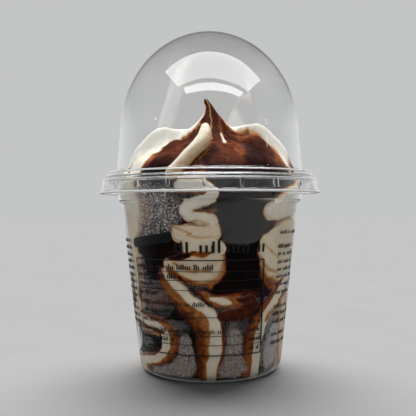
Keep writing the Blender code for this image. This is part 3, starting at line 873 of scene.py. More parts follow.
@dataclass
class Lid:
    """The tall dome with its stepped flange, flared skirt and snap lugs."""

    wall: float = 0.5
    dome_top: float = 115.2
    dome_centre: float = 80.0
    dome_radius: float = 30.75
    taper: float = 0.087
    taper_blend: float = 2.0
    dome_steps: int = 54
    side_steps: int = 6
    flange_top: float = 67.1
    flange_radius: float = 35.0
    skirt_top: float = 65.5
    skirt_radius: float = 36.2
    skirt_bend: float = 64.0
    lip_radius: float = 37.9
    lip_height: float = 60.0
    segments: int = 256
    lug_count: int = 20
    lug_size: Row = (1.3, 1.4, 2.9)
    lug_first_angle: float = 15.5
    lug_radius: float = 35.5
    lug_height: float = 62.4
    # (radius, height, half thickness) of milky rings on the rolled edges, painted highlights, and
    # of the blue-grey ring under them, a painted reflection
    edges: Path = ((34.65, 66.65, 0.26), (36.4, 64.1, 0.13), (37.6, 60.05, 0.30))
    band: Path = ((35.7, 65.0, 0.20),)

    def radius_at(self, height: float) -> float:
        """The dome's outer radius: a half ellipse on a wall that flares downwards.

        Args:
            height: The height.

        Returns:
            The radius there.
        """
        rise = (height - self.dome_centre) / (self.dome_top - self.dome_centre)
        rise = min(max(rise, 0.0), 1.0)
        flare = self.taper * self.taper_blend * log1p(
            exp((self.dome_centre - height) / self.taper_blend))
        return self.dome_radius * sqrt(1 - rise * rise) + flare * (rise < 1.0)

    def outline(self) -> list[Point]:
        """The outer side from the top of the dome to the edge of the lip."""
        points = [(0.0, self.dome_top)]
        for step in range(1, self.dome_steps + 1):
            share = step / self.dome_steps
            height = self.dome_centre + (self.dome_top - self.dome_centre) * cos(share * pi / 2)
            points.append((self.radius_at(height), height))
        foot = self.flange_top + 1.0
        for step in range(1, self.side_steps):
            height = self.dome_centre + (foot - self.dome_centre) * step / self.side_steps
            points.append((self.radius_at(height), height))
        edge = self.flange_radius
        return points + rounded((
            (self.radius_at(foot), foot, 0.0),
            (self.radius_at(self.flange_top), self.flange_top, 0.7),
            (edge, self.flange_top, 0.9),
            (edge + 0.1, self.skirt_top, 0.2),
            (self.skirt_radius, self.skirt_top, 0.8),
            (self.skirt_radius + 0.1, self.skirt_bend + 0.3, 0.3),
            (self.skirt_radius + 0.6, self.skirt_bend - 0.2, 0.6),
            (self.skirt_radius + 0.9, self.lip_height + 0.6, 0.6),
            (self.lip_radius, self.lip_height, 0.0),
        ))

    def build(self, lathe: Lathe, finish: ClearPlastic, edges: ClearPlastic,
              band: ClearPlastic) -> None:
        """Makes the lid's shell, its lugs, and rings on its rolled edges that are painted
        highlights and a painted reflection.

        Args:
            lathe: What turns the shell.
            finish: The shell's plastic.
            edges: The milky plastic of the rings on the rolled edges, a painted highlight.
            band: The blue-grey plastic of the ring between the rolled edges, a painted reflection.
        """
        material = finish.material()
        mesh = lathe.shell("lid_shell", self.outline(), -self.wall, self.segments, material)
        add_piece("lid_shell", mesh, material, Slot.LID, ["dome_lid"])
        add_piece("lid_lugs", self.lugs(material), material, Slot.LID)
        for name, rings, kind in (("lid_edge_highlights", self.edges, edges), ("lid_band_reflection", self.band, band)):
            add_piece(name, self.rolled(name, rings), kind.material(), Slot.LID)

    def rolled(self, name: str, rings: Path, sides: int = 10) -> Mesh:
        """Makes thin rounded rings, such as those at the flange's corner and the lip.

        Args:
            name: The mesh's name.
            rings: Each one's radius, height and half thickness.
            sides: Faces round its section.

        Returns:
            The mesh.
        """
        turns = np.arange(self.segments) * 360.0 / self.segments
        count = sides * self.segments
        points, faces = [], []
        for number, (radius, height, half) in enumerate(rings):
            for way in np.arange(sides) * 2 * pi / sides:
                points.append(lattice(turns, radius + half * np.cos(way) + 0 * turns,
                                      height + half * np.sin(way) + 0 * turns))
            faces += [[number * count + i % count for i in face]
                      for face in ring_faces(sides + 1, self.segments)]
        return mesh_of(name, np.concatenate(points), faces)

    def lugs(self, material: Material) -> Mesh:
        """The ring of small lugs under the skirt, by Geometry Nodes.

        Args:
            material: Their material.

        Returns:
            The mesh.
        """
        sheet, given = new_tree("lug_ring", {
            "Count": "Int", "Radius": "Float", "Height": "Float", "First Angle": "Float",
            "Size": "Vector", "Material": "Material"})
        ring = sheet.node("GeometryNodeMeshLine", {"Count": given["Count"]})
        index = sheet.node("GeometryNodeInputIndex").outputs[0]
        angle = sheet.times(sheet.math("DIVIDE", index, given["Count"]), 2 * pi)
        angle = sheet.plus(angle, given["First Angle"])
        placed = sheet.node("GeometryNodeSetPosition", {
            "Geometry": ring.outputs[0],
            "Position": sheet.turned(given["Radius"], angle, given["Height"])})
        lug = sheet.node("GeometryNodeMeshIcoSphere", {"Radius": 0.5, "Subdivisions": 3})
        turn = sheet.node("ShaderNodeCombineXYZ", {"Z": angle})
        copies = sheet.node("GeometryNodeInstanceOnPoints", {
            "Points": placed.outputs[0], "Instance": lug.outputs[0],
            "Rotation": turn.outputs[0], "Scale": given["Size"]})
        smooth = sheet.node("GeometryNodeSetShadeSmooth", {"Geometry": copies.outputs[0]})
        end_tree(sheet, smooth.outputs[0], given["Material"])
        return grown_mesh("lid_lugs", bpy.data.meshes.new("lug_seed"), sheet, {
            "Count": self.lug_count, "Radius": self.lug_radius * MM,
            "Height": self.lug_height * MM, "First Angle": radians(self.lug_first_angle),
            "Size": [side * MM for side in self.lug_size], "Material": material})


# ---------------- the pattern on the wall


@dataclass(frozen=True)
class Fold:
    """A strand of ice cream pressed on the cup's wall.

    path holds (angle, height, half width) along its middle, and flat is the share of the half
    width that touches the wall. band is the share of the half width that is clean, shifts say
    how far the clean band lies to the left of the way along the path, base is the sauce in the
    band, and edge and rim are the sauce beside the band and at the strand's edge; on the pale
    folds, whose rim is low, edge and rim are painted shade where the fold curves off the wall.
    """

    flat: float
    path: Path
    band: float = 0.8
    shifts: tuple[float, ...] = (0.0,)
    base: float = 0.03
    edge: float = 0.12
    rim: float = 0.40
    soft: float = 0.12


FOLDS = {
    "stack": Fold(0.5, ((-17.5, 61.6, 2.3), (-6, 61.4, 2.3), (0, 60.3, 2.3), (-0.8, 58, 2.4),
        (-8.4, 56.5, 2.4), (-15, 54.6, 2.3), (-11, 52.2, 2.1), (-3, 52, 2.5), (1, 50.9, 2.1)),
        band=0.7, base=0.0, edge=0.08, rim=0.24),
    "fold_low": Fold(0.62, ((2.2, 48.6, 2.1), (0, 47, 3), (-10, 46.8, 3.3), (-20, 47.2, 2.8)),
        band=0.62, base=0.08, edge=0.14, rim=0.26),
    "belly_top": Fold(0.7, ((-13, 43.4, 3), (-4, 43.6, 3.6), (2.5, 42.4, 3.4)), band=0.8,
        base=0.05, edge=0.10, rim=0.22),
    "belly": Fold(0.72, ((-23, 36.6, 4.4), (-13, 36.4, 6), (-4, 36.8, 6.4), (1.6, 39, 4)),
        band=0.66, shifts=(0.14,), base=0.08, edge=0.22, rim=0.52, soft=0.2),
    "caramel_lobe": Fold(0.3, ((-9, 28.9, 1.3), (-5, 28, 2), (3, 26.2, 2.6), (12, 25.8, 2.7),
        (21, 26.2, 2.5), (30, 26.8, 2.1)), band=0.5, shifts=(0.2,), base=0.42, edge=0.48,
        rim=0.68),
    "front_ribbon": Fold(0.6, ((-32.5, 34.6, 2.4), (-30, 31.7, 3.3), (-24, 28.7, 3.8),
        (-18.7, 26, 3.9), (-11.9, 23.4, 4.1), (-5, 20.9, 4.7), (-0.8, 17.6, 5), (1.4, 14, 5),
        (1.6, 10, 4.9), (-0.2, 5, 4.4), (-2.4, 1, 4)), band=0.30,
        shifts=(0.4, 0.5, 0.54, 0.56, 0.56, 0.56, 0.43, 0.19, 0.12, 0.1, 0.2), base=0.0, edge=0.38,
        rim=0.74, soft=0.1),
    "right_ball": Fold(0.6, ((41, 54, 3.2), (49, 54.2, 3.9), (62, 56.6, 5.4), (78, 57.6, 6)),
        band=0.72, base=0.0, edge=0.10, rim=0.26),
    "right_mass": Fold(0.8, ((37.8, 41.6, 3.3), (42.5, 39.4, 4.6), (46.8, 37.2, 6),
        (56, 36.2, 6.6), (72, 36, 6.6)), band=0.6, shifts=(0.1,), base=0.05, edge=0.16, rim=0.38,
        soft=0.2),
    "right_upper": Fold(0.8, ((39.2, 43.6, 3.2), (48, 45.6, 3.6), (58, 46.6, 4.4), (80, 47, 5)),
        band=0.7, base=0.05, edge=0.12, rim=0.26),
    "lobe_foot": Fold(0.8, ((9, 21.4, 2), (20, 22, 2.8), (32, 23.2, 3)), band=1.0, base=0.66,
        edge=0.66, rim=0.74, soft=0.3),
    "right_low": Fold(0.8, ((66, 24, 4.4), (70, 14, 6), (74, 6, 4.4)), band=0.4, base=0.12,
        edge=0.25, rim=0.45),
    "right_ribbon": Fold(0.76, ((76, 34, 4), (60, 29.6, 3.8), (50, 24.8, 3.9), (41, 21.6, 4.1),
        (35.5, 17.6, 4.2), (32.6, 13, 4.2), (32, 8, 4.1), (31, 1, 3.7)), band=0.42,
        shifts=(0.0, 0.1, 0.12, 0.34, 0.50, 0.52, 0.50, 0.50), base=0.0, edge=0.42, rim=0.78,
        soft=0.1),
    "low_hook": Fold(0.62, ((-66, 19.6, 2.6), (-54, 18.8, 2.9), (-42, 18.2, 3.2), (-33, 16.6, 3.5),
        (-29.6, 13, 3.6), (-32.5, 9.6, 3.5), (-42, 7, 3.2), (-57, 5.6, 2.9), (-76, 4.4, 2.8),
        (-96, 4.2, 2.8)), band=0.38,
        shifts=(0.1, 0.0, -0.2, -0.45, -0.58, -0.45, -0.12, 0.0, 0.0, 0.0), base=0.0, edge=0.38,
        rim=0.76, soft=0.1),
    "left_upper": Fold(0.75, ((-60, 64, 6), (-58, 56, 6.2), (-59, 50, 4.8), (-62, 45, 2.6)),
        band=0.5, base=0.03, edge=0.10, rim=0.34, soft=0.4),
    "left_strip": Fold(0.5, ((-61, 52, 4), (-62, 42, 3.4), (-61.5, 32, 3.6), (-62, 24, 2.8),
        (-72, 19, 3), (-84, 15, 3.2)), band=0.6, shifts=(-0.2,), base=0.06, edge=0.18, rim=0.40,
        soft=0.2),
    "hook_inner": Fold(0.6, ((-60, 15.4, 1.3), (-49, 15.2, 1.3), (-41, 14.6, 1)), band=0.3,
        base=0.22, edge=0.34, rim=0.60, soft=0.3),
    "left_back": Fold(0.5, ((-82, 62, 4), (-83, 50, 3.6), (-84, 38, 3.6), (-80, 29, 3.4))),
}


@dataclass(frozen=True)
class Smear:
    """A smear of sauce, or of clean ice cream, over the folds: (angle, height, half width)."""

    amount: float
    path: Path
    soft: float = 0.5

    def laid(self, sauce: Array, share: Array) -> Array:
        """The sauce once the smear lies on it, at distances given in its half widths."""
        return sauce + (self.amount - sauce) * fading(share, self.soft)


SMEARS = (
    # painted shade: tan to brown darkening in the creases between the folds
    Smear(0.55, ((-18, 59.6, 0.5), (-9, 59.5, 0.55), (-2.5, 59.4, 0.3))),
    Smear(0.48, ((-9.5, 54.3, 0.25), (-4, 54, 0.5), (4, 54.2, 0.6)), 0.6),
    Smear(0.26, ((-12, 50.5, 0.3), (-6, 51.2, 0.45), (-1, 50.2, 0.3)), 0.8),
    Smear(0.30, ((-27, 49.6, 0.5), (-20, 48.6, 0.4), (-12, 46.8, 0.25)), 0.7),
    Smear(0.24, ((-15, 46.6, 0.3), (-6, 45.6, 0.4), (2, 46.2, 0.25)), 0.8),
    # the dark crease over the belly, and tan streaks across it
    Smear(0.92, ((-32, 41.4, 1.2), (-25, 40.2, 1.3), (-16, 40.3, 0.9), (-9, 41.2, 0.45)), 0.35),
    Smear(0.50, ((-11, 40.8, 0.7), (-5, 40.4, 0.7), (0, 40.8, 0.3)), 0.8),
    Smear(0.30, ((-24, 38, 0.4), (-12, 35.8, 0.5), (0, 35.4, 0.4)), 0.9),
    Smear(0.42, ((-27, 35.4, 0.8), (-20, 33.4, 0.9), (-10, 31.4, 0.9), (0, 30.6, 0.8)), 0.8),
    # the caramel lobe: white crescent, orange middle, dark right end and spots
    Smear(0.40, ((-4, 27.8, 0.9), (8, 25.6, 1.6), (18, 26, 1.6)), 0.7),
    Smear(0.74, ((26, 26.4, 1.6), (34, 27, 2.4)), 0.8),
    Smear(0.02, ((0.5, 27.3, 0.45), (5, 26.7, 0.9), (9.5, 25.9, 1.1), (13.8, 25.7, 0.6)), 0.3),
    Smear(0.80, ((18.5, 27, 0.3), (20.5, 26.5, 0.5), (22.5, 26.8, 0.3)), 0.8),
    Smear(0.56, ((-8.6, 17, 0.8), (-8, 12, 1), (-8.6, 6, 1), (-10, 2.5, 1)), 0.9),
    # streaks and stained foot of the right mass
    Smear(0.24, ((38, 43, 0.3), (44, 40.6, 0.5), (52, 38.6, 0.3)), 0.9),
    Smear(0.28, ((36, 38, 0.4), (42, 35.6, 0.6), (50, 34, 0.5)), 0.9),
    Smear(0.50, ((36, 33.8, 1), (43, 31, 1.6), (51, 29.4, 1.3)), 0.7),
    # stain on the left, seen through the frost
    Smear(0.46, ((-45, 57.6, 1.4), (-42, 54, 2.2), (-44, 50, 1))),
    Smear(0.62, ((-56, 27, 2.5), (-44, 26, 3.6), (-34, 26, 2)), 0.6),
    Smear(0.58, ((-55, 16.4, 0.5), (-44, 16.2, 0.6), (-36, 15.4, 0.4))),
    # dark crease along the front ribbon, its red foot, and the wedge under the right ball
    Smear(0.86, ((-21, 33.6, 0.3), (-13, 29.8, 0.5), (-6, 27, 0.55), (1, 24.6, 0.3))),
    Smear(0.58, ((-13, 4.8, 0.6), (-10.6, 2.6, 1.6))),
    Smear(0.90, ((36, 49.6, 1), (42, 49.8, 0.7), (50, 50.6, 0.3))),
    Smear(0.74, ((-14, 31, 0.4), (-9.7, 29.8, 0.8), (-4, 29.6, 0.4)), 0.6),
    # dark red between the lobe and the right ribbon
    Smear(0.68, ((24, 27.6, 1.4), (31, 25, 2)), 0.7),
    Smear(0.66, ((9, 22.6, 1.2), (16, 21.8, 1.8), (25, 22.4, 1.8)), 0.6),
    Smear(0.36, ((43.5, 19.5, 0.8), (48, 21, 1.4), (54, 22, 1.6)), 0.7),
)


@dataclass(frozen=True)
class Frost:
    """A frosted patch of the wall, with (angle, height, half width) along it.

    cover is how much it hides, speckle how much it is broken into crystals and pale how grey it
    is instead of brown.
    """

    cover: float
    speckle: float
    pale: float
    path: Path
    soft: float = 0.4


FROSTS = (
    Frost(0.24, 0.9, 1.0, ((-72, 57, 5), (-58, 56, 6), (-47, 55, 6)), 0.6),
    Frost(0.26, 1.0, 0.8, ((-46, 56.4, 5), (-36, 55.6, 5.2), (-28, 55, 4.6), (-26, 52, 2.6)), 0.6),
    Frost(0.12, 1.0, 0.8, ((-58, 48.4, 3), (-46, 48, 2.4), (-38, 48.4, 2), (-28, 49.6, 1.8)), 0.7),
    Frost(0.015, 0.5, 0.8, ((8, 53.6, 4), (13, 52.8, 6), (21, 52, 6.8), (31, 52.4, 6.2)), 0.6),
    Frost(0.021, 0.3, 0.8, ((9, 45.2, 0.8), (20, 45, 1), (30, 46.2, 1.1), (39, 49, 0.9)), 0.8),
    Frost(0.72, 0.3, 0.25, ((-18, 13.6, 1.8), (-18.4, 8, 2.5), (-21, 4.6, 3.4), (-30, 3, 2.6),
        (-48, 2, 1.8)), 0.3),
    Frost(0.78, 0.25, 0.2, ((17.5, 15, 1.9), (17.2, 11, 2.5), (17, 7, 3.1), (17, 1.6, 4.8)), 0.35),
    Frost(0.12, 0.3, 0.0, ((17, 18, 1.6), (17, 16, 2.2)), 0.8),
    Frost(0.74, 0.1, 0.5, ((55, 15.8, 2.2), (53, 11, 3.4), (51, 6.8, 3.2), (51, 4.6, 1.8)), 0.25),
    Frost(0.40, 0.2, 0.2, ((46, 18.6, 0.9), (50, 20.4, 1.4), (56, 21, 1.6)), 0.7),
    Frost(0.40, 0.2, 0.8, ((-70, 12.6, 2), (-78, 12, 3.2), (-90, 10, 4)), 0.5),
    Frost(0.07, 0.6, 0.8, ((-57, 11.4, 0.8), (-51, 11.6, 0.9)), 0.8),
    Frost(0.055, 0.5, 0.8, ((-29, 18, 1.5), (-20, 17.2, 1.8)), 0.8),
    Frost(0.034, 0.3, 0.3, ((-56, 32, 3), (-50, 27, 4), (-38, 26, 4)), 0.9),
    Frost(0.045, 0.3, 0.8, ((-55, 38, 1.8), (-54.5, 33, 2.2), (-54.5, 28, 2)), 0.8),
)


@dataclass
class Wall:
    """What lies against the inside of the cup's wall: folds, hollows, sauce and frost."""

    cup: Cup
    gap: float = 0.3
    upper_radius: float = 30.6
    hollow_depth: float = 3.6
    top_share: float = 0.45
    hollow_sauce: float = 0.99
    warp: float = 0.35
    blobs: tuple[tuple[int, int], ...] = ((60, 34), (130, 75))  # round and up, coarse and fine
    aside_seeds: tuple[int, int] = (3, 5)
    up_seeds: tuple[int, int] = (7, 11)
    rim_curve: float = 1.2  # how late a fold's edge darkening sets in: sauce on the ribbons, painted shade on pale folds
    lead: float = 0.3  # how much a fold's edge yields to another fold's middle
    seam: Point = (0.96, 1.05)  # where a fold's edge is lost in the sauce
    # The back carries the same strands turned by half a turn, pulled along and down a little
    back_turn: float = 183.0
    back_squash: float = 0.94
    back_stretch: float = 1.04

    def inner_radius(self, height: Array) -> Array:
        """The cup's inner wall, with the wider shoulder at the top.

        Args:
            height: The heights.

        Returns:
            The wall's radius at each.
        """
        cup = self.cup
        wall = cup.foot_radius - cup.wall + cup.slope * height
        rise = eased(height, cup.shoulder_height, cup.shoulder_height + 2 * cup.shoulder_step)
        return wall + (self.upper_radius + self.gap - wall) * rise

    def across(self, angle: Array, height: Array, path: Path) -> tuple[Array, Array, Array]:
        """Where points lie beside a path on the wall.

        Args:
            angle: The points' angles.
            height: The points' heights.
            path: (angle, height, half width) along the path.

        Returns:
            The signed distance to the left of the path, the distance, both as shares of the half
            width, and how far along the path the nearest point is, from 0 to 1.
        """
        rows = smooth_path(path)
        share = np.full(np.shape(height), np.inf)
        signed, reached = np.zeros(np.shape(height)), np.zeros(np.shape(height))
        scale = radians(1.0) * self.inner_radius(height)
        for number, (start, end) in enumerate(zip(rows, rows[1:])):
            middle = 0.5 * (start[0] + end[0])
            x = turned_angle(angle, middle) * scale
            x_start = (start[0] - middle) * scale
            dx, dz = (end[0] - start[0]) * scale, end[1] - start[1]
            along = ((x - x_start) * dx + (height - start[1]) * dz) / (dx * dx + dz * dz)
            along = np.clip(along, 0.0, 1.0)
            away_x, away_z = x - x_start - along * dx, height - start[1] - along * dz
            distance = np.hypot(away_x, away_z) / (start[2] + along * (end[2] - start[2]))
            nearer = distance < share
            left = np.sign(dx * away_z - dz * away_x)
            share = np.where(nearer, distance, share)
            signed = np.where(nearer, distance * left, signed)
            reached = np.where(nearer, (number + along) / (len(rows) - 1), reached)
        return signed, share, reached

    def both_sides(self, path: Path) -> tuple[Path, Path]:
        """A path as given, and the same on the back of the cup."""
        return path, tuple((self.back_turn + angle * self.back_stretch,
                            height * self.back_squash, half) for angle, height, half in path)

    def warped(self, angle: Array, height: Array) -> tuple[Array, Array]:
        """Moves points aside a little, so that no edge is too even.

        Args:
            angle: The points' angles.
            height: Their heights.

        Returns:
            The moved angles and heights.
        """
        aside, up = (
            sum(strength * value_noise(angle / 360.0, height / 100.0, *blobs, seed)
                for strength, blobs, seed in zip((1.0, 0.5), self.blobs, seeds))
            for seeds in (self.aside_seeds, self.up_seeds))
        return angle + aside * self.warp / DEGREE, height + up * self.warp

    def hollow(self, angle: Array, height: Array) -> tuple[Array, Array]:
        """How far the ice cream stands back from the wall, and the sauce on it.

        Args:
            angle: The points' angles.
            height: The points' heights.

        Returns:
            The depth in millimetres and the amount of sauce from 0 to 1.
        """
        angle, height = self.warped(angle, height)
        depth = np.full(np.shape(height), self.hollow_depth)
        sauce = np.full(np.shape(height), self.hollow_sauce)
        rank = np.full(np.shape(height), np.inf)
        for fold in FOLDS.values():
            for path in self.both_sides(fold.path):
                signed, share, along = self.across(angle, height, path)
                outside = np.clip((share - fold.flat) / (1.0 - fold.flat), 0.0, 1.0)
                here = self.hollow_depth * (1.0 - np.sqrt(1.0 - outside**2))
                shift = np.interp(along, np.linspace(0, 1, len(fold.shifts)), fold.shifts)
                aside = np.abs(signed - shift)
                beside = eased(aside, fold.band, fold.band + fold.soft)
                outer = np.clip((share - fold.band) / (1.0 - fold.band), 0.0, 1.0)
                # edge and rim: sauce on the ribbons, painted shade on the pale folds
                amount = fold.base + (fold.edge - fold.base) * beside
                amount = amount + (fold.rim - fold.edge) * beside * outer**self.rim_curve
                amount = amount + (self.hollow_sauce - amount) * eased(share, *self.seam)
                place = here + self.lead * share
                first = (place < rank) & (share < self.seam[1])
                sauce = np.where(first, amount, sauce)
                rank = np.where(first, place, rank)
                depth = np.minimum(depth, here)
        for smear in SMEARS:
            for path in self.both_sides(smear.path):
                sauce = smear.laid(sauce, self.across(angle, height, path)[1])
        top = np.interp(height, (self.cup.shoulder_height, self.cup.rim_height),
                        (1.0, self.top_share))
        return depth * top, sauce

    def frost(self, angle: Array, height: Array) -> dict[str, Array]:
        """How the wall is frosted.

        Args:
            angle: The points' angles.
            height: The points' heights.

        Returns:
            The frost's cover, its share of speckle and how grey it is, under their names.
        """
        angle, height = self.warped(angle, height)
        values = {key: np.zeros(np.shape(height)) for key in ("frost", "speckle", "pale")}
        for patch in FROSTS:
            for path in self.both_sides(patch.path):
                share = self.across(angle, height, path)[1]
                here = patch.cover * fading(share, patch.soft)
                first = here > values["frost"]
                for key, value in (("frost", here), ("speckle", patch.speckle),
                                   ("pale", patch.pale)):
                    values[key] = np.where(first, value, values[key])
        return values


# ---------------- ice cream, sauce and frost


@dataclass(frozen=True)
class Ridge:
    """A ridge of the peak: its angle, its height above the usual crest and its half width."""

    angle: float
    lift: float
    half_width: float


RIDGES = (
    Ridge(-86, 0.0, 4.6), Ridge(-47, -5.2, 4.9), Ridge(22, -6.2, 5.6), Ridge(58, -3.0, 5.0),
    Ridge(88, 1.6, 4.6), Ridge(122, -0.6, 4.8), Ridge(158, 0.8, 4.8), Ridge(-166, -1.0, 4.8),
    Ridge(-124, 0.6, 4.8),
)
RIDGE_TWIST = 14.0
# Radius and height of the crest from the tip's small knob to the wall
CREST = ((0.0, 92.6), (0.45, 92.5), (0.8, 92.1), (1.0, 91.4), (1.2, 90.3), (1.75, 88.9),
         (2.5, 87.4), (3.5, 86.0), (4.7, 84.6), (6.8, 82.6), (9.4, 81.7), (14.0, 82.2),
         (17.0, 82.4), (20.0, 80.9), (23.5, 77.3), (26.0, 74.2), (27.4, 71.2), (28.4, 68.4),
         (31.0, 65.6))
GROOVE_RADII = (0.0, 1.3, 3.0, 8.0, 14.0, 20.0, 26.0, 31.0)
GROOVE_DEPTHS = (0.0, 0.1, 1.0, 3.2, 6.6, 6.8, 4.0, 1.0)
# How far the peak leans to the side at each height
LEAN_HEIGHTS = (80.0, 84.7, 87.5, 90.2, 91.4, 92.6)
LEAN_ASIDE = (0.0, 0.5, 0.45, 0.0, -0.8, -1.2)
TOP_SAUCE = 0.66
# Smears on the peak, as (x, y, half width) in plan
TOP_SMEARS = (
    # white humps: left, right and round the back
    Smear(0.0, ((-30, -9, 8.5), (-24, -8.5, 8.9), (-17, -1, 7.7), (-12, 0.5, 7), (-8, 1.4, 6.4),
        (-5, 2.6, 4.8), (-3, 3.4, 3.6)), 0.14),
    Smear(0.0, ((5.5, 3.5, 3.6), (10, 3.4, 4.7), (14, 3.2, 4.3), (18, 2.6, 4.4), (22, 1, 4.6),
        (27, -3, 3.8), (28.5, -8, 4), (28.4, -13, 3.2)), 0.34),
    Smear(0.0, ((4, 14, 1.2), (6, 20, 2.2), (9, 28, 2.6)), 0.3),
    Smear(0.0, ((-8, 10, 1.2), (-14, 15, 2.2), (-19, 20, 2.6)), 0.3),
    # brown of the front masses, stained cream beside them and their amber edges
    Smear(0.10, ((-25, -8, 1), (-21, -11, 2), (-18.5, -14, 1.4)), 0.8),
    Smear(0.40, ((-18.2, -15, 0.8), (-18.6, -18.4, 1.2)), 0.8),
    Smear(0.62, ((-8, -13, 2.2), (-10.5, -15, 3.2), (-11, -19, 3.4)), 0.6),
    Smear(0.80, ((-21, -19.5, 1.2), (-17, -21.5, 1.8), (-12, -23.6, 1.2)), 0.6),
    Smear(0.61, ((4, -18.5, 2.2), (7, -20, 3.4), (6, -24, 3)), 0.7),
    Smear(0.54, ((8.5, -15.5, 0.8), (9.6, -19, 1.5), (10.2, -22.5, 1.3)), 0.8),
    Smear(0.78, ((1.2, -19, 0.8), (1, -23, 1.4), (-1, -26, 1.5)), 0.6),
    Smear(0.86, ((13, -11.5, 1.4), (15, -15, 3), (15.5, -19, 3.4), (13.5, -23, 2.4))),
    Smear(0.34, ((0.6, -17, 0.5), (-0.2, -20, 0.6), (-2.2, -23.6, 0.7), (-4.4, -26, 0.7)), 0.8),
    Smear(0.50, ((8.5, -4.8, 0.6), (11, -6.4, 1), (15, -7.6, 1.2)), 0.8),
    Smear(0.42, ((15, -6.4, 0.9), (19, -8.2, 1.5), (22.6, -11.6, 2.1), (24.2, -16, 2)), 0.9),
    # streaks on the tip, and a clean white wedge that is a painted highlight
    Smear(0.30, ((0, -0.9, 0.18), (0.1, -3.2, 0.24), (0.3, -6, 0.3), (0.5, -9, 0.4))),
    Smear(0.52, ((3, -0.8, 0.4), (3.3, -3, 0.8), (4, -6, 0.7)), 0.8),
    Smear(0.72, ((5.6, -2.2, 0.7), (6.6, -5.5, 0.9)), 0.6),
    # painted highlight: the clean white wedge on the tip
    Smear(0.02, ((4, -5.6, 0.3), (4.4, -7.4, 0.7), (4.9, -9, 0.9), (5.2, -10.4, 0.5))),
)
TOP_STRAND = ((-21.9, 30.0, 67.7, 2.3), (-17.7, 28.8, 70.2, 2.35), (-14.7, 27.3, 72.5, 2.4),
              (-10.9, 25.5, 74.8, 2.4), (-6.9, 23.4, 77.1, 2.45), (-4.1, 20.4, 79.8, 2.2),
              (-4.5, 17.0, 82.1, 1.5))
STRAND_GROOVES = (9, 0.03)  # their number, and their depth as a share of its radius


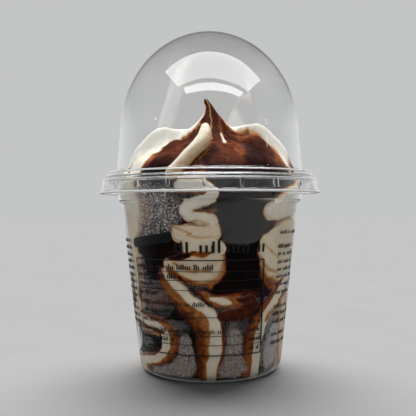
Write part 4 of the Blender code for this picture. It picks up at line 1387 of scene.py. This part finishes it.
@dataclass
class IceCream:
    """The rippled ice cream: folds along the wall and the star-nozzle peak."""

    wall: Wall
    columns: int = 448
    side_rows: int = 126
    top_rows: int = 70
    reach: float = 0.12  # into the cup's wall, so that no air shows
    corner_rise: float = 2.2
    corner_hollow: float = 1.0
    edge_round: float = 1.5
    crest: Array = field(default_factory=lambda: smooth_path(CREST, 6))
    ridge_sharpness: float = 1.6
    grain: float = 0.16  # how rough it is between the folds
    grain_noise: tuple[int, int, int] = (240, 150, 21)
    bumps: float = 0.25
    bumps_noise: tuple[int, int, int] = (44, 44, 31)
    plan_side: float = 80.0  # the square that a noise in plan covers
    ragged: Path = ((36, 41, 0.55), (90, 45, 0.40))  # blobs, seed and millimetres
    pole_sauce: Point = (0.8, 0.6)  # in the middle of the underside and on the tip

    @property
    def floor(self) -> float:
        """The height of its underside."""
        return self.wall.cup.recess + self.wall.cup.wall + self.wall.gap

    def peak(self, angle: Array, radius: Array) -> tuple[Array, Array]:
        """The top's height and sauce.

        Args:
            angle: The points' angles.
            radius: Their distances from the axis.

        Returns:
            Height in millimetres and sauce from 0 to 1.
        """
        crest = np.interp(radius, self.crest[:, 0], self.crest[:, 1])
        groove = np.interp(radius, GROOVE_RADII, GROOVE_DEPTHS)
        twisted = angle - RIDGE_TWIST * (1.0 - radius / CREST[-1][0])
        top = crest - groove
        for ridge in RIDGES:
            arc = turned_angle(twisted, ridge.angle) * radians(1.0) * np.maximum(radius, 2.0)
            round_top = np.exp(-(arc / ridge.half_width) ** 2 * self.ridge_sharpness)
            lifted = crest + ridge.lift * np.clip(radius / 12.0, 0.0, 1.0)
            drop = groove + ridge.lift * (ridge.lift > 0)
            top = np.maximum(top, lifted - drop * (1.0 - round_top))
        x, y = radius * np.sin(np.radians(angle)), -radius * np.cos(np.radians(angle))
        u, v = x / self.plan_side + 0.5, y / self.plan_side + 0.5
        for blobs, seed, ragged in self.ragged:
            x = x + ragged * value_noise(u, v, blobs, blobs, seed)
            y = y + ragged * value_noise(u, v, blobs, blobs, seed + 2)
        sauce = np.full(np.shape(radius), TOP_SAUCE)
        for smear in TOP_SMEARS:
            sauce = smear.laid(sauce, self.beside(x, y, smear.path))
        return top, sauce

    @staticmethod
    def beside(x: Array, y: Array, path: Path) -> Array:
        """Where points lie beside a path in plan.

        Args:
            x: The points' places to the right.
            y: Their places towards the back.
            path: (x, y, half width) along the path.

        Returns:
            Their distances from it, as shares of the half width.
        """
        rows = smooth_path(path)
        share = np.full(np.shape(x), np.inf)
        for start, end in zip(rows, rows[1:]):
            dx, dy = end[0] - start[0], end[1] - start[1]
            along = np.clip(((x - start[0]) * dx + (y - start[1]) * dy) / (dx * dx + dy * dy),
                            0.0, 1.0)
            away = np.hypot(x - start[0] - along * dx, y - start[1] - along * dy)
            share = np.minimum(share, away / (start[2] + along * (end[2] - start[2])))
        return share

    def side(self) -> tuple[Array, Array]:
        """Angles and heights of the side's lattice."""
        angles = np.arange(self.columns) * 360.0 / self.columns
        high = self.peak(angles, np.full(self.columns, self.wall.upper_radius))[0]
        low = np.full(self.columns, self.floor + self.corner_rise)
        shares = np.linspace(0.0, 1.0, self.side_rows)[:, None]
        heights = low + (high - self.edge_round - low) * shares
        return np.broadcast_to(angles, heights.shape).copy(), heights

    def build(self, finish: RippledIceCream) -> None:
        """Makes the ice cream and the free strand that climbs its front.

        Args:
            finish: The finish of both.
        """
        angles, heights = self.side()
        depth, sauce = self.wall.hollow(angles, heights)
        rough = value_noise(angles / 360.0, heights / 100.0, *self.grain_noise)
        rough *= self.grain * np.clip(depth, 0.0, 1.0)
        wall = self.wall.inner_radius(heights) + self.reach - depth + rough
        straight = angles[0]
        foot = self.corner(np.minimum(depth[0], self.corner_hollow))
        rings = [(*ring, sauce[0]) for ring in foot] + list(zip(wall, heights, sauce))
        for step in range(1, self.top_rows):
            ring = wall[-1] * (1.0 - step / self.top_rows) ** 1.3
            height, amount = self.peak(straight, ring)
            inwards = np.clip(1.0 - (wall[-1] - ring) / self.edge_round, 0.0, 1.0)
            height = height - self.edge_round * (1.0 - np.sqrt(1.0 - inwards**2))
            flat = lattice(straight, ring, height) / self.plan_side + 0.5
            bumps = value_noise(flat[..., 0], flat[..., 1], *self.bumps_noise)
            edge = eased(wall[-1] - ring, 0.0, 3.0)
            rings.append((ring, height + self.bumps * bumps * eased(ring, 1.0, 6.0),
                          amount * edge + sauce[-1] * (1.0 - edge)))
        radii, levels, sauces = (np.array(part) for part in zip(*rings))
        points = np.vstack([self.leaned(lattice(straight, radii, levels).reshape(-1, 3)),
                            [0.0, 0.0, self.floor], [LEAN_ASIDE[-1], 0.0, CREST[0][1]]])
        mist = self.wall.frost(angles, heights)["frost"]
        mists = np.zeros(len(points))
        first = len(foot) * self.columns
        mists[first:first + mist.size] = mist.ravel()
        mesh = mesh_of("ice_cream_folds", points, closed_faces(len(rings), self.columns),
                       sauce=np.append(sauces, self.pole_sauce), mist=mists)
        material = finish.material()
        add_piece("ice_cream_folds", mesh, material, Slot.VANILLA, ["ice_cream"])
        add_piece("top_strand", self.strand(), material, Slot.VANILLA)

    def corner(self, depth: Array) -> list[tuple[Array, Array]]:
        """The rings that follow the cup's rounded foot.

        Args:
            depth: How far the ice cream stands back from the wall.

        Returns:
            Radii and heights of each ring, from the middle.
        """
        cup = self.wall.cup
        lean = hypot(1.0, cup.slope)
        middle = cup.foot_radius + cup.slope * cup.corner - cup.corner * lean
        rings = [(depth * 0 + cup.ring_radius * 0.5, depth * 0 + self.floor),
                 (depth * 0 + cup.ring_radius - 1.5, depth * 0 + self.floor),
                 (depth * 0 + middle - 1.0, depth * 0 + cup.wall + 0.3)]
        for turn in (-75.0, -60.0, -45.0, -30.0, -15.0):
            reach = cup.corner - cup.wall + self.reach - depth
            rings.append((middle + reach * cos(radians(turn)),
                          cup.corner + reach * sin(radians(turn))))
        return rings

    def leaned(self, points: Array) -> Array:
        """Leans the peak's tip aside.

        Args:
            points: Rows of x, y and z.

        Returns:
            The moved rows.
        """
        near = 1.0 - eased(np.hypot(points[:, 0], points[:, 1]), 7.0, 12.0)
        moved = points.copy()
        moved[:, 0] += near * np.interp(points[:, 2], LEAN_HEIGHTS, LEAN_ASIDE)
        return moved

    def strand(self) -> Mesh:
        """The free strand as a tapered rope with a blunt round end."""
        turns, radii, tops, half = smooth_path(TOP_STRAND, 12).T
        return tube("top_strand", lattice(turns, radii, tops - half), half, 28)


def tube(name: str, centre: Array, half: Array, sides: int) -> Mesh:
    """A closed round rope with round ends.

    Args:
        name: The mesh's name.
        centre: Points along its middle, in millimetres.
        half: Its radius at each of them.
        sides: Faces round it.

    Returns:
        The mesh, with grooves along it and sauce values that also hold painted shade.
    """
    turns = np.linspace(0.12, 1.0, 6) * pi / 2
    cap, reach = np.sin(turns), np.cos(turns)
    ways = np.gradient(centre, axis=0)
    ways /= np.linalg.norm(ways, axis=1)[:, None]
    spine = np.vstack([centre[0] - ways[0] * half[0] * r for r in reach[:-1]] + [centre]
                      + [centre[-1] + ways[-1] * half[-1] * r for r in reach[-2::-1]])
    radius = np.concatenate([half[0] * cap[:-1], half, half[-1] * cap[-2::-1]])
    way = np.vstack([ways[:1]] * 5 + [ways] + [ways[-1:]] * 5)
    side = np.cross(way, (0.0, 0.0, 1.0))
    side /= np.linalg.norm(side, axis=1)[:, None]
    up = np.cross(side, way)
    angle = np.arange(sides) * 2 * pi / sides
    across, above = np.cos(angle), np.sin(angle)
    ring = across[None, :, None] * side[:, None] + above[None, :, None] * up[:, None]
    along = np.linspace(0, 1, len(spine))
    grooves, cut = STRAND_GROOVES
    groove = 1.0 + cut * np.sin(angle * grooves)[None, :] * np.sin(along * pi)[:, None]
    points = spine[:, None] + ring * (radius[:, None] * groove)[..., None]
    ends = (spine[0] - way[0] * 0.02 * half[0], spine[-1] + way[-1] * 0.02 * half[-1])
    # darker under it, partly sauce and partly painted contact shadow, and painted shade on its
    # right side
    sauce = np.maximum(0.7 * eased(-above, 0.1, 0.9), 0.09 + 0.14 * eased(across, 0.35, 1.0))
    return mesh_of(name, np.vstack([points.reshape(-1, 3), *ends]),
                   closed_faces(len(spine), sides),
                   sauce=np.append(np.tile(sauce, len(spine)), [0.2, 0.05]))


# Angle and height of a point in each packed pool
POOLS = {
    "sauce_pool_right": (20, 42),
    "sauce_pool_left": (-44, 38),
    "sauce_channel_front": (-16, 15),
    "sauce_pool_hook": (-48, 13),
    "sauce_pool_back_right": (203, 39),
    "sauce_pool_back_left": (139, 35),
}


@dataclass
class Sauce:
    """The sauce that fills hollows up to the wall, one piece for each packed pool."""

    wall: Wall
    ice_cream: IceCream
    least_hollow: float = 0.9
    thin_hollow: float = 0.35
    growth: int = 5
    reach: float = 0.10
    frost_gap: float = 0.9  # where mist on the wall shows that the sauce stands back
    back_frost: Point = (0.002, 0.012)  # the mist's cover from none of that gap to all of it
    back_most: float = 0.6  # the share of a hollow that this gap may take
    dive: float = 0.6  # how deep a pool's edge goes under the folds
    bury: float = 0.3
    margin: float = 2.4

    def build(self, finish: GlossySauce) -> None:
        """Makes the pools.

        Args:
            finish: The sauce's finish.
        """
        angles, heights = self.ice_cream.side()
        depth, sauce = self.wall.hollow(angles, heights)
        frost = self.wall.frost(angles, heights)["frost"]
        material = finish.material()
        taken = np.zeros(angles.shape, bool)
        deep = depth > self.least_hollow
        regions = {}
        for name, seed in POOLS.items():
            cells = deep & self.inside(name, angles, heights) & ~taken
            regions[name] = self.flooded(cells, angles, heights, seed)
            taken |= regions[name]
        back = eased(frost, *self.back_frost) * self.frost_gap
        wall = self.wall.inner_radius(heights)
        dive = self.dive * np.clip(1.0 - depth / self.thin_hollow, 0.0, 1.0)
        outer = wall + self.reach - np.minimum(back, depth * self.back_most) - dive
        inner = wall - depth - self.bury - dive
        for name, region in regions.items():
            grown = self.grown(region, taken & ~region)
            mesh = self.slab(name, grown, angles, heights, inner, outer, sauce=sauce)
            add_piece(name + "_fill", mesh, material, Slot.CHOCOLATE, [name])

    def inside(self, name: str, angles: Array, heights: Array) -> Array:
        """Finds the lattice points in a packed pool's box, with a margin.

        Args:
            name: The pool's node.
            angles: The lattice's angles.
            heights: Its heights.

        Returns:
            True for those points.
        """
        low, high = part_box(name)
        points = lattice(angles, self.wall.inner_radius(heights), heights)
        low = np.array(low) / MM - self.margin
        high = np.array(high) / MM + self.margin
        return np.all((points > low) & (points < high), axis=-1)

    def flooded(self, cells: Array, angles: Array, heights: Array, seed: Point) -> Array:
        """Floods a pool from its seed.

        Args:
            cells: The lattice points that it may take.
            angles: The lattice's angles.
            heights: Its heights.
            seed: The seed's angle and height.

        Returns:
            The points joined to the seed.
        """
        column = round((seed[0] % 360.0) / 360.0 * cells.shape[1]) % cells.shape[1]
        row = int(np.argmin(np.abs(heights[:, column] - seed[1])))
        found = np.zeros_like(cells)
        found[row, column] = cells[row, column]
        while True:
            spread = self.widened(found) & cells
            if (spread == found).all():
                return found
            found = spread

    @staticmethod
    def widened(cells: Array) -> Array:
        """Widens a region by a point to each side.

        Args:
            cells: Some lattice points.

        Returns:
            The points and their neighbours.
        """
        wide = cells | np.roll(cells, 1, axis=1) | np.roll(cells, -1, axis=1)
        wide[1:] |= cells[:-1]
        wide[:-1] |= cells[1:]
        return wide

    def grown(self, region: Array, others: Array) -> Array:
        """Carries a pool under the edges of the folds around it.

        Args:
            region: The pool's points.
            others: The other pools' points.

        Returns:
            The wider region.
        """
        for _ in range(self.growth):
            region = self.widened(region) & ~others
        region[0] = region[-1] = False
        return region

    @staticmethod
    def slab(name: str, region: Array, angles: Array, heights: Array,
             inner: Array, outer: Array, **values: Array) -> Mesh:
        """Makes a closed slab over the lattice cells whose four corners are in a region.

        Args:
            name: The mesh's name.
            region: Which lattice points it may use.
            angles: The lattice's angles.
            heights: Its heights.
            inner: The slab's inner radius at each point.
            outer: Its outer radius.
            values: One number a point under each name, for its material.

        Returns:
            The mesh.
        """
        ahead = np.roll(region, -1, axis=1)
        cells = region[:-1] & region[1:] & ahead[:-1] & ahead[1:]
        count = region.size
        number = np.arange(count).reshape(region.shape)
        i, j = np.nonzero(cells)
        k = (j + 1) % region.shape[1]
        ring = np.stack([number[i, j], number[i, k], number[i + 1, k], number[i + 1, j]], 1)
        faces = list(ring) + list(ring[:, ::-1] + count)
        edges = dict.fromkeys(edge for quad in ring for edge in zip(quad, np.roll(quad, -1)))
        faces += [(b, a, a + count, b + count) for a, b in edges if (b, a) not in edges]
        points = np.vstack([lattice(angles, outer, heights).reshape(-1, 3),
                            lattice(angles, inner, heights).reshape(-1, 3)])
        used = np.unique(np.concatenate([np.asarray(face) for face in faces]))
        renumber = np.full(len(points), -1)
        renumber[used] = np.arange(len(used))
        faces = [renumber[np.asarray(face)].tolist() for face in faces]
        values = {key: np.tile(value.ravel(), 2)[used] for key, value in values.items()}
        return mesh_of(name, points[used], faces, **values)


@dataclass
class FrostCoat:
    """Mist and crystals on the inside of the wall."""

    wall: Wall
    columns: int = 320
    rows: int = 150
    low: float = 2.0
    high: float = 63.0
    inset: float = 0.06
    thickness: float = 0.05
    least: float = 0.004
    grains_per_mm2: float = 4.4
    grain_sizes: Point = (0.18, 0.44)
    speckle_from: float = 0.6  # the share of speckle that is broken enough for crystals
    seed: int = 17

    def build(self, film: FrostFilm, grain: FrostGrain) -> None:
        """Makes the film and the crystals.

        Args:
            film: The film's finish.
            grain: The crystals'.
        """
        angles = np.arange(self.columns) * 360.0 / self.columns
        heights = np.linspace(self.low, self.high, self.rows)[:, None] + 0 * angles
        angles = angles + 0 * heights
        values = self.wall.frost(angles, heights)
        radius = self.wall.inner_radius(heights) - self.inset
        region = values["frost"] > self.least
        mesh = Sauce.slab("frost_film", region, angles, heights, radius - self.thickness, radius,
                          **values)
        add_piece("frost_film", mesh, film.material(), Slot.VANILLA)
        material = grain.material()
        add_piece("frost_crystals", self.crystals(mesh, material), material, Slot.VANILLA)

    def crystals(self, film: Mesh, material: Material) -> Mesh:
        """Ice crystals strewn over the speckled frost, by Geometry Nodes.

        Args:
            film: The frost's mesh.
            material: The crystals' material.

        Returns:
            Their mesh.
        """
        sheet, given = new_tree("frost_crystals", {
            "Grains per m2": "Float", "Smallest": "Float", "Largest": "Float",
            "Seed": "Int", "Material": "Material"})
        cover, speckle = (
            sheet.node("GeometryNodeInputNamedAttribute", {"Name": name}).outputs[0]
            for name in ("frost", "speckle"))
        share = sheet.times(cover, sheet.math("GREATER_THAN", speckle, self.speckle_from))
        strewn = sheet.node("GeometryNodeDistributePointsOnFaces", {
            "Mesh": given["Mesh"], "Seed": given["Seed"],
            "Density": sheet.times(share, given["Grains per m2"])})
        ball = sheet.node("GeometryNodeMeshIcoSphere", {"Radius": 0.5, "Subdivisions": 1})
        spin = sheet.typed("FunctionNodeRandomValue", {"Max": (6.28, 6.28, 6.28)},
                           data_type="FLOAT_VECTOR")
        size = sheet.typed("FunctionNodeRandomValue", {
            "Min": given["Smallest"], "Max": given["Largest"]}, data_type="FLOAT")
        copies = sheet.node("GeometryNodeInstanceOnPoints", {
            "Points": strewn.outputs[0], "Instance": ball.outputs[0], "Rotation": spin,
            "Scale": size})
        end_tree(sheet, copies.outputs[0], given["Material"])
        return grown_mesh("frost_crystals", film, sheet, {
            "Grains per m2": self.grains_per_mm2 / MM**2, "Smallest": self.grain_sizes[0] * MM,
            "Largest": self.grain_sizes[1] * MM, "Seed": self.seed, "Material": material})


# ---------------- print


@dataclass(frozen=True)
class TickRow:
    """A row of small upright strokes in groups, in place of a printed line."""

    height: float
    first: float
    last: float
    tall: float = 1.4
    stroke: float = 0.30
    gap: float = 0.28


TICK_ROWS = (
    TickRow(36.7, -56, 1.5, 1.7, 0.40, 0.26), TickRow(33.9, -56, -22, 1.7, 0.40, 0.26),
    TickRow(31.0, -56, -42), TickRow(28.2, -56, -40), TickRow(25.2, -55, 1.0, 1.5),
    TickRow(22.6, -53, -12, 1.5), TickRow(19.6, -56, -34), TickRow(16.7, -55, 9.5, 1.4, 0.34),
    TickRow(13.9, -53, -27), TickRow(11.0, -54, -42),
    TickRow(28.2, 30.5, 35, 1.5, 0.34), TickRow(22.4, 29, 36, 1.5, 0.34),
    TickRow(19.4, 27.5, 36, 1.5, 0.36), TickRow(16.8, 27.5, 36.5, 1.5, 0.36),
    TickRow(13.9, 27.5, 37, 1.5, 0.36), TickRow(11.0, 27.5, 37, 1.5, 0.36),
)
RULES = (35.3, 32.5, 29.5, 21.1, 15.2, 12.3)
# Heights of the lines of small print at both edges
LEFT_LINES = (44.4, 42.1, 39.8, 37.6, 35.4, 33.2, 31.0, 28.8, 26.6, 24.4, 22.2, 20.0, 17.8)
RIGHT_LINES = (47.0, 42.5, 40.1, 37.5, 35.1, 32.8, 30.2, 27.6, 23.0, 20.6, 18.0, 14.0, 11.2)


@dataclass
class Print:
    """Plain rules, strokes and a bar on the outside of the wall, with no letter or word."""

    cup: Cup
    table_top: float = 38.8
    table_bottom: float = 9.1
    table_left: float = -57.5
    table_right: Point = (36.6, 38.9)  # its top and bottom corner
    proud: float = 0.05
    sunk: float = 0.03
    rule: float = 0.36
    fine_rule: float = 0.20
    seed: int = 29
    bend: float = 2.0  # degrees between the cuts that let a box bend
    tip: float = 0.4  # what the slanted rule is blunted by
    bar: Box = (-59.5, -23.5, 43.6, 46.0)
    bar_half: float = 1.5
    bar_steps: int = 32
    groups: tuple[int, int] = (3, 9)  # strokes from the first number up to below the second
    heights: Row = (0.66, 0.7, 1.0)  # of the strokes, as shares of a row's
    group_gap: Point = (1.6, 0.8)  # more gap between groups: strokes' gaps, then degrees
    left_lines: Point = (-84.0, -62.5)  # about where the lines at the edges start and end
    right_lines: Point = (50.0, 78.0)
    line_tall: float = 1.2
    amount_foot: float = 41.1
    amount_stroke: float = 0.75
    amount_pitch: float = 2.3  # in strokes
    amount: tuple[tuple[float, int, float], ...] = (
        (-22.4, 3, 3.4), (-6.6, 3, 2.4), (1.2, 1, 3.6), (4.6, 1, 4.2), (10.2, 2, 2.6),
        (16.6, 2, 2.6), (23.4, 1, 2.2), (31.0, 2, 2.6))  # first angle, strokes, height

    def build(self, finish: PrintInk) -> None:
        """Makes the print as thin slabs wrapped round the wall.

        Args:
            finish: The ink.
        """
        points, faces = [], []
        for left, right, low, high in [*self.table(), *self.strokes(), *self.edge_lines()]:
            self.add_box(points, faces, left, right, low, high)
        self.add_strip(points, faces, self.side_rule())
        self.add_strip(points, faces, self.round_bar())
        flat = bpy.data.meshes.new("print_layout")
        flat.from_pydata(points, [], faces)
        material = finish.material()
        mesh = grown_mesh("cup_print", flat, self.wrap_tree(), {
            "Foot Radius": self.cup.foot_radius * MM, "Slope": self.cup.slope,
            "Material": material})
        add_piece("cup_print", mesh, material, Slot.CUP)

    def right_at(self, height: float) -> float:
        """The angle of the table's slanted right side at a height."""
        top, bottom = self.table_right
        share = (self.table_top - height) / (self.table_top - self.table_bottom)
        return top + (bottom - top) * share

    def table(self) -> Iterable[Box]:
        """The outline and rules of the plain table."""
        half = self.rule / 2
        for height in (self.table_top, self.table_bottom):
            yield self.table_left, self.right_at(height), height - half, height + half
        width = half / DEGREE
        yield self.table_left - width, self.table_left + width, self.table_bottom, self.table_top
        half = self.fine_rule / 2
        for height in RULES:
            yield self.table_left, self.right_at(height), height - half, height + half

    def side_rule(self) -> list[Row]:
        """The table's slanted right side as (angle, low, high), traced up and back."""
        width = self.rule / DEGREE / 2
        top, bottom = self.table_right
        middle = (self.table_top + self.table_bottom) / 2
        return [(top - width, self.table_top - self.tip, self.table_top),
                (top + width, middle, self.table_top),
                (bottom - width, self.table_bottom, middle),
                (bottom + width, self.table_bottom, self.table_bottom + self.tip)]

    def round_bar(self) -> list[Row]:
        """A plain slanted bar with round ends as (angle, low, high)."""
        left, right, low, high = self.bar
        rows = []
        for share in np.linspace(0.0, 1.0, self.bar_steps + 1).tolist():
            angle = left + (right - left) * share
            from_end = min(angle - left, right - angle) * DEGREE
            inset = max(1.0 - from_end / self.bar_half, 0.0)
            half = max(self.bar_half * sqrt(1.0 - inset * inset), 0.1)
            middle = low + (high - low) * share
            rows.append((angle, middle - half, middle + half))
        return rows

    def ticks(self, row: TickRow, draw: np.random.Generator) -> Iterable[Box]:
        """Draws the strokes of one row, in groups of a few.

        Args:
            row: The row.
            draw: Where the groups' sizes and the strokes' heights come from.

        Yields:
            The box of each stroke.
        """
        angle, left_in_group = row.first, int(draw.integers(*self.groups))
        gaps, more = self.group_gap
        low = row.height - row.tall / 2
        while angle < row.last:
            width = row.stroke / DEGREE
            tall = row.tall * float(draw.choice(self.heights))
            yield angle, angle + width, low, low + tall
            left_in_group -= 1
            angle += width + row.gap / DEGREE
            if left_in_group == 0:
                angle += gaps * row.gap / DEGREE + more
                left_in_group = int(draw.integers(*self.groups))

    def strokes(self) -> Iterable[Box]:
        """The strokes along each row of the table, and the large ones above it."""
        draw = np.random.default_rng(self.seed)
        for row in TICK_ROWS:
            yield from self.ticks(row, draw)
        width = self.amount_stroke / DEGREE
        for first, count, tall in self.amount:
            for number in range(count):
                left = first + self.amount_pitch * width * number
                yield left, left + width, self.amount_foot, self.amount_foot + tall

    def edge_lines(self) -> Iterable[Box]:
        """Lines of small strokes at both edges of the print, of uneven lengths."""
        draw = np.random.default_rng(self.seed + 1)
        start, end = self.left_lines
        for height in LEFT_LINES:
            first, last = start + float(draw.uniform(0, 3)), end + float(draw.uniform(-2, 1))
            yield from self.ticks(TickRow(height, first, last, self.line_tall), draw)
        start, end = self.right_lines
        for height in RIGHT_LINES:
            last = end + float(draw.uniform(-8, 4))
            yield from self.ticks(TickRow(height, start, last, self.line_tall), draw)

    def add_box(self, points: list, faces: list, left: float, right: float, low: float,
                high: float) -> None:
        """Adds a flat box, split along its length so that it can bend."""
        steps = max(1, round((right - left) / self.bend))
        rows = [(left + (right - left) * step / steps, low, high) for step in range(steps + 1)]
        self.add_strip(points, faces, rows)

    def add_strip(self, points: list, faces: list, rows: Sequence[Row]) -> None:
        """Adds a closed slab to a layout.

        Args:
            points: The layout's points.
            faces: Its faces.
            rows: (angle, low, high) along the slab.
        """
        base = len(points)
        for angle, low, high in rows:
            for out in (-self.sunk, self.proud):
                for height in (low, high):
                    points.append((angle * MM, out * MM, height * MM))
        for step in range(len(rows) - 1):
            a, b = base + 4 * step, base + 4 * step + 4
            for p, q in ((0, 1), (1, 3), (3, 2), (2, 0)):
                faces.append((a + p, a + q, b + q, b + p))
        end = base + 4 * (len(rows) - 1)
        faces.append((base, base + 2, base + 3, base + 1))
        faces.append((end, end + 1, end + 3, end + 2))

    @staticmethod
    def wrap_tree() -> Sheet:
        """A tree that wraps a flat layout round the tapered wall.

        The layout's x is an angle in degrees, its y stands out of the wall and its z is a height.
        """
        sheet, given = new_tree("wrapped_print", {
            "Foot Radius": "Float", "Slope": "Float", "Material": "Material"})
        parts = sheet.parts(sheet.node("GeometryNodeInputPosition").outputs[0])
        angle = sheet.times(parts["X"], radians(1.0) / MM)
        radius = sheet.plus(given["Foot Radius"], sheet.times(parts["Z"], given["Slope"]))
        spot = sheet.turned(sheet.plus(radius, parts["Y"]), angle, parts["Z"])
        moved = sheet.node("GeometryNodeSetPosition", {
            "Geometry": given["Mesh"], "Position": spot})
        end_tree(sheet, moved.outputs[0], given["Material"])
        return sheet


# ---------------- studio


@dataclass
class Studio:
    """A plain pale floor, soft light from above and the photograph's camera."""

    pale: float = 0.56  # how bright floor and background look
    pale_tint: tuple[float, ...] = (0.985, 0.995, 1.0, 1.0)
    ambient: float = 0.22
    mirror_front: float = 0.04
    mirror_back: float = 0.74
    mirror_high: float = 0.35  # the shares of it that are left above and below the horizon
    mirror_low: float = 0.35
    overhead: float = 2.5
    overhead_size: float = 64.0
    overhead_tilt: float = -34.0
    fill: float = 0.47
    fill_size: float = 70.0
    fill_tilt: float = 22.0
    panel_glow: float = 6.5
    strip_glow: float = 10.5
    panel_height: float = 600.0
    panel: Box = (-440.0, 600.0, -400.0, -20.0)
    strip: Box = (-380.0, 560.0, -630.0, -470.0)
    glints: tuple[tuple[float, float, float, float, float], ...] = (
        (-540.0, -210.0, 229.0, 16.0, 14.0), (570.0, -172.0, 216.0, 14.0, 26.0))
    glint_glow: float = 7.0
    camera_distance: float = 225.6
    camera_height: float = 54.8
    camera_aside: float = -0.6
    camera_roll: float = 0.33
    lens_pixels: float = 650.0
    frame_pixels: float = 416.0
    floor_side: float = 6000.0
    floor_height: float = -0.1

    def build(self) -> None:
        """Makes the floor, world, lights and camera."""
        scene = bpy.context.scene
        scene.view_settings.view_transform = "Standard"
        for name, value in (("use_denoising", True), ("max_bounces", 24),
                            ("transmission_bounces", 20), ("transparent_max_bounces", 24),
                            ("glossy_bounces", 8), ("caustics_reflective", False),
                            ("caustics_refractive", False)):
            setattr(scene.cycles, name, value)
        floor = self.build_floor()
        scene.world = self.build_world()
        self.build_suns(floor)
        self.build_panels()
        self.build_camera(scene)

    def build_floor(self) -> Object:
        """A wide pale floor just under the cup."""
        half = self.floor_side / 2 * MM
        corners = [(x * half, y * half, self.floor_height * MM)
                   for x, y in ((-1, -1), (1, -1), (1, 1), (-1, 1))]
        mesh = bpy.data.meshes.new("floor")
        mesh.from_pydata(corners, [], [(0, 1, 2, 3)])
        light = self.ambient + self.overhead * cos(radians(self.overhead_tilt))
        mesh.materials.append(FloorPaper(tone=self.pale / light).material())
        floor = link_object("floor", mesh)
        floor.visible_glossy = False
        return floor

    def build_world(self) -> bpy.types.World:
        """An even pale surround that lights softly and mirrors dimly."""
        world = bpy.data.worlds.new("surround")
        sheet = blank_sheet(world)
        path = sheet.node("ShaderNodeLightPath").outputs
        soft, glossy = (sheet.math("MINIMUM", path[kind + " Depth"], 1.0)
                        for kind in ("Diffuse", "Glossy"))
        way = sheet.parts(sheet.node("ShaderNodeTexCoord").outputs["Generated"])
        mirror = sheet.spread(way["Y"], -0.3, 0.7, self.mirror_front, self.mirror_back)
        mirror = sheet.times(mirror, sheet.spread(way["Z"], 0.1, 0.35, 1.0, self.mirror_high))
        mirror = sheet.times(mirror, sheet.spread(way["Z"], -0.14, -0.02, self.mirror_low, 1.0))
        sharp = sheet.towards(glossy, self.pale, mirror)
        surround = sheet.node("ShaderNodeBackground", {
            "Color": self.pale_tint, "Strength": sheet.towards(soft, sharp, self.ambient)})
        sheet.node("ShaderNodeOutputWorld", {"Surface": surround.outputs[0]})
        return world

    def add_lamp(self, name: str, kind: str, unseen: Sequence[str]) -> Object:
        """Puts a lamp in the scene.

        Args:
            name: Its name.
            kind: Its type.
            unseen: The kinds of ray that pass it by.

        Returns:
            The lamp.
        """
        lamp = link_object(name, bpy.data.lights.new(name, kind))
        for ray in unseen:
            setattr(lamp, f"visible_{ray}", False)
        return lamp

    def build_suns(self, floor: Object) -> None:
        """Soft light from above and from the front.

        Args:
            floor: The floor, which the front light leaves out so that the shade stays on it.
        """
        suns = (("overhead", self.overhead, self.overhead_size, self.overhead_tilt),
                ("fill", self.fill, self.fill_size, self.fill_tilt))
        for name, strength, size, tilt in suns:
            lamp = self.add_lamp(name, "SUN", ("glossy", "transmission", "camera"))
            lamp.data.energy = strength * pi
            lamp.data.angle = radians(size)
            lamp.rotation_euler = Euler((radians(tilt), 0.0, 0.0))
        left_out = bpy.data.collections.new("left_out_of_fill")
        left_out.objects.link(floor)
        left_out.collection_objects[0].light_linking.link_state = "EXCLUDE"
        lamp.light_linking.receiver_collection = left_out

    def add_panel(self, name: str, glow: float, width: float, depth: float) -> Object:
        """A square lamp that only gloss shows.

        Args:
            name: Its name.
            glow: How bright it looks.
            width: Its width in millimetres.
            depth: Its other side.

        Returns:
            The lamp, at the origin.
        """
        lamp = self.add_lamp(name, "AREA", ("camera", "diffuse", "transmission"))
        light = lamp.data
        light.shape = "RECTANGLE"
        light.size, light.size_y = width * MM, depth * MM
        light.energy = glow * pi * light.size * light.size_y
        return lamp

    def build_panels(self) -> None:
        """The two panels and the two glints that are seen on the dome."""
        for name, glow, (left, right, front, back) in (
                ("panel", self.panel_glow, self.panel), ("strip", self.strip_glow, self.strip)):
            lamp = self.add_panel(name, glow, right - left, back - front)
            lamp.location = Vector((left + right, front + back, 2 * self.panel_height)) / 2 * MM
        for x, y, z, width, tall in self.glints:
            lamp = self.add_panel("glint", self.glint_glow, width, tall)
            lamp.location = Vector((x, y, z)) * MM
            lamp.rotation_euler = Vector((x, y, 0.0)).to_track_quat("Z", "Y").to_euler()

    def build_camera(self, scene: bpy.types.Scene) -> None:
        """The photograph's level view of the cup.

        Args:
            scene: The scene that it is for.
        """
        data = bpy.data.cameras.new("camera")
        data.sensor_width = 36.0
        data.lens = data.sensor_width * self.lens_pixels / self.frame_pixels
        camera = link_object("camera", data)
        camera.location = Vector((self.camera_aside, -self.camera_distance,
                                  self.camera_height)) * MM
        camera.rotation_euler = Euler((pi / 2, radians(self.camera_roll), 0.0))
        scene.camera = camera


def main() -> None:
    """Builds the sundae piece by piece and sets up the studio."""
    logging.basicConfig(level=logging.INFO, format="%(name)s %(message)s")
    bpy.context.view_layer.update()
    Studio().build()
    lathe = Lathe()
    cup = Cup()
    cup.build(lathe, ClearPlastic("cup_clear"))
    Lid().build(lathe,
                # the dome's plastic, with painted shade towards its top
                ClearPlastic("lid_clear", (0.975, 0.978, 0.976), haze=0.03, painted_top_shade=0.16),
                # milky rings as painted highlights on the rolled edges, and a blue-grey ring as a
                # painted reflection
                ClearPlastic("lid_edge_highlights", (0.96, 0.97, 0.97), haze=0.2, milk=0.5),
                ClearPlastic("lid_band_reflection", (0.82, 0.85, 0.88), haze=0.25, milk=0.1))
    wall = Wall(cup)
    ice_cream = IceCream(wall)
    ice_cream.build(RippledIceCream())
    Sauce(wall, ice_cream).build(GlossySauce())
    FrostCoat(wall).build(FrostFilm(), FrostGrain())
    Print(cup).build(PrintInk())


if __name__ == "__main__":
    main()
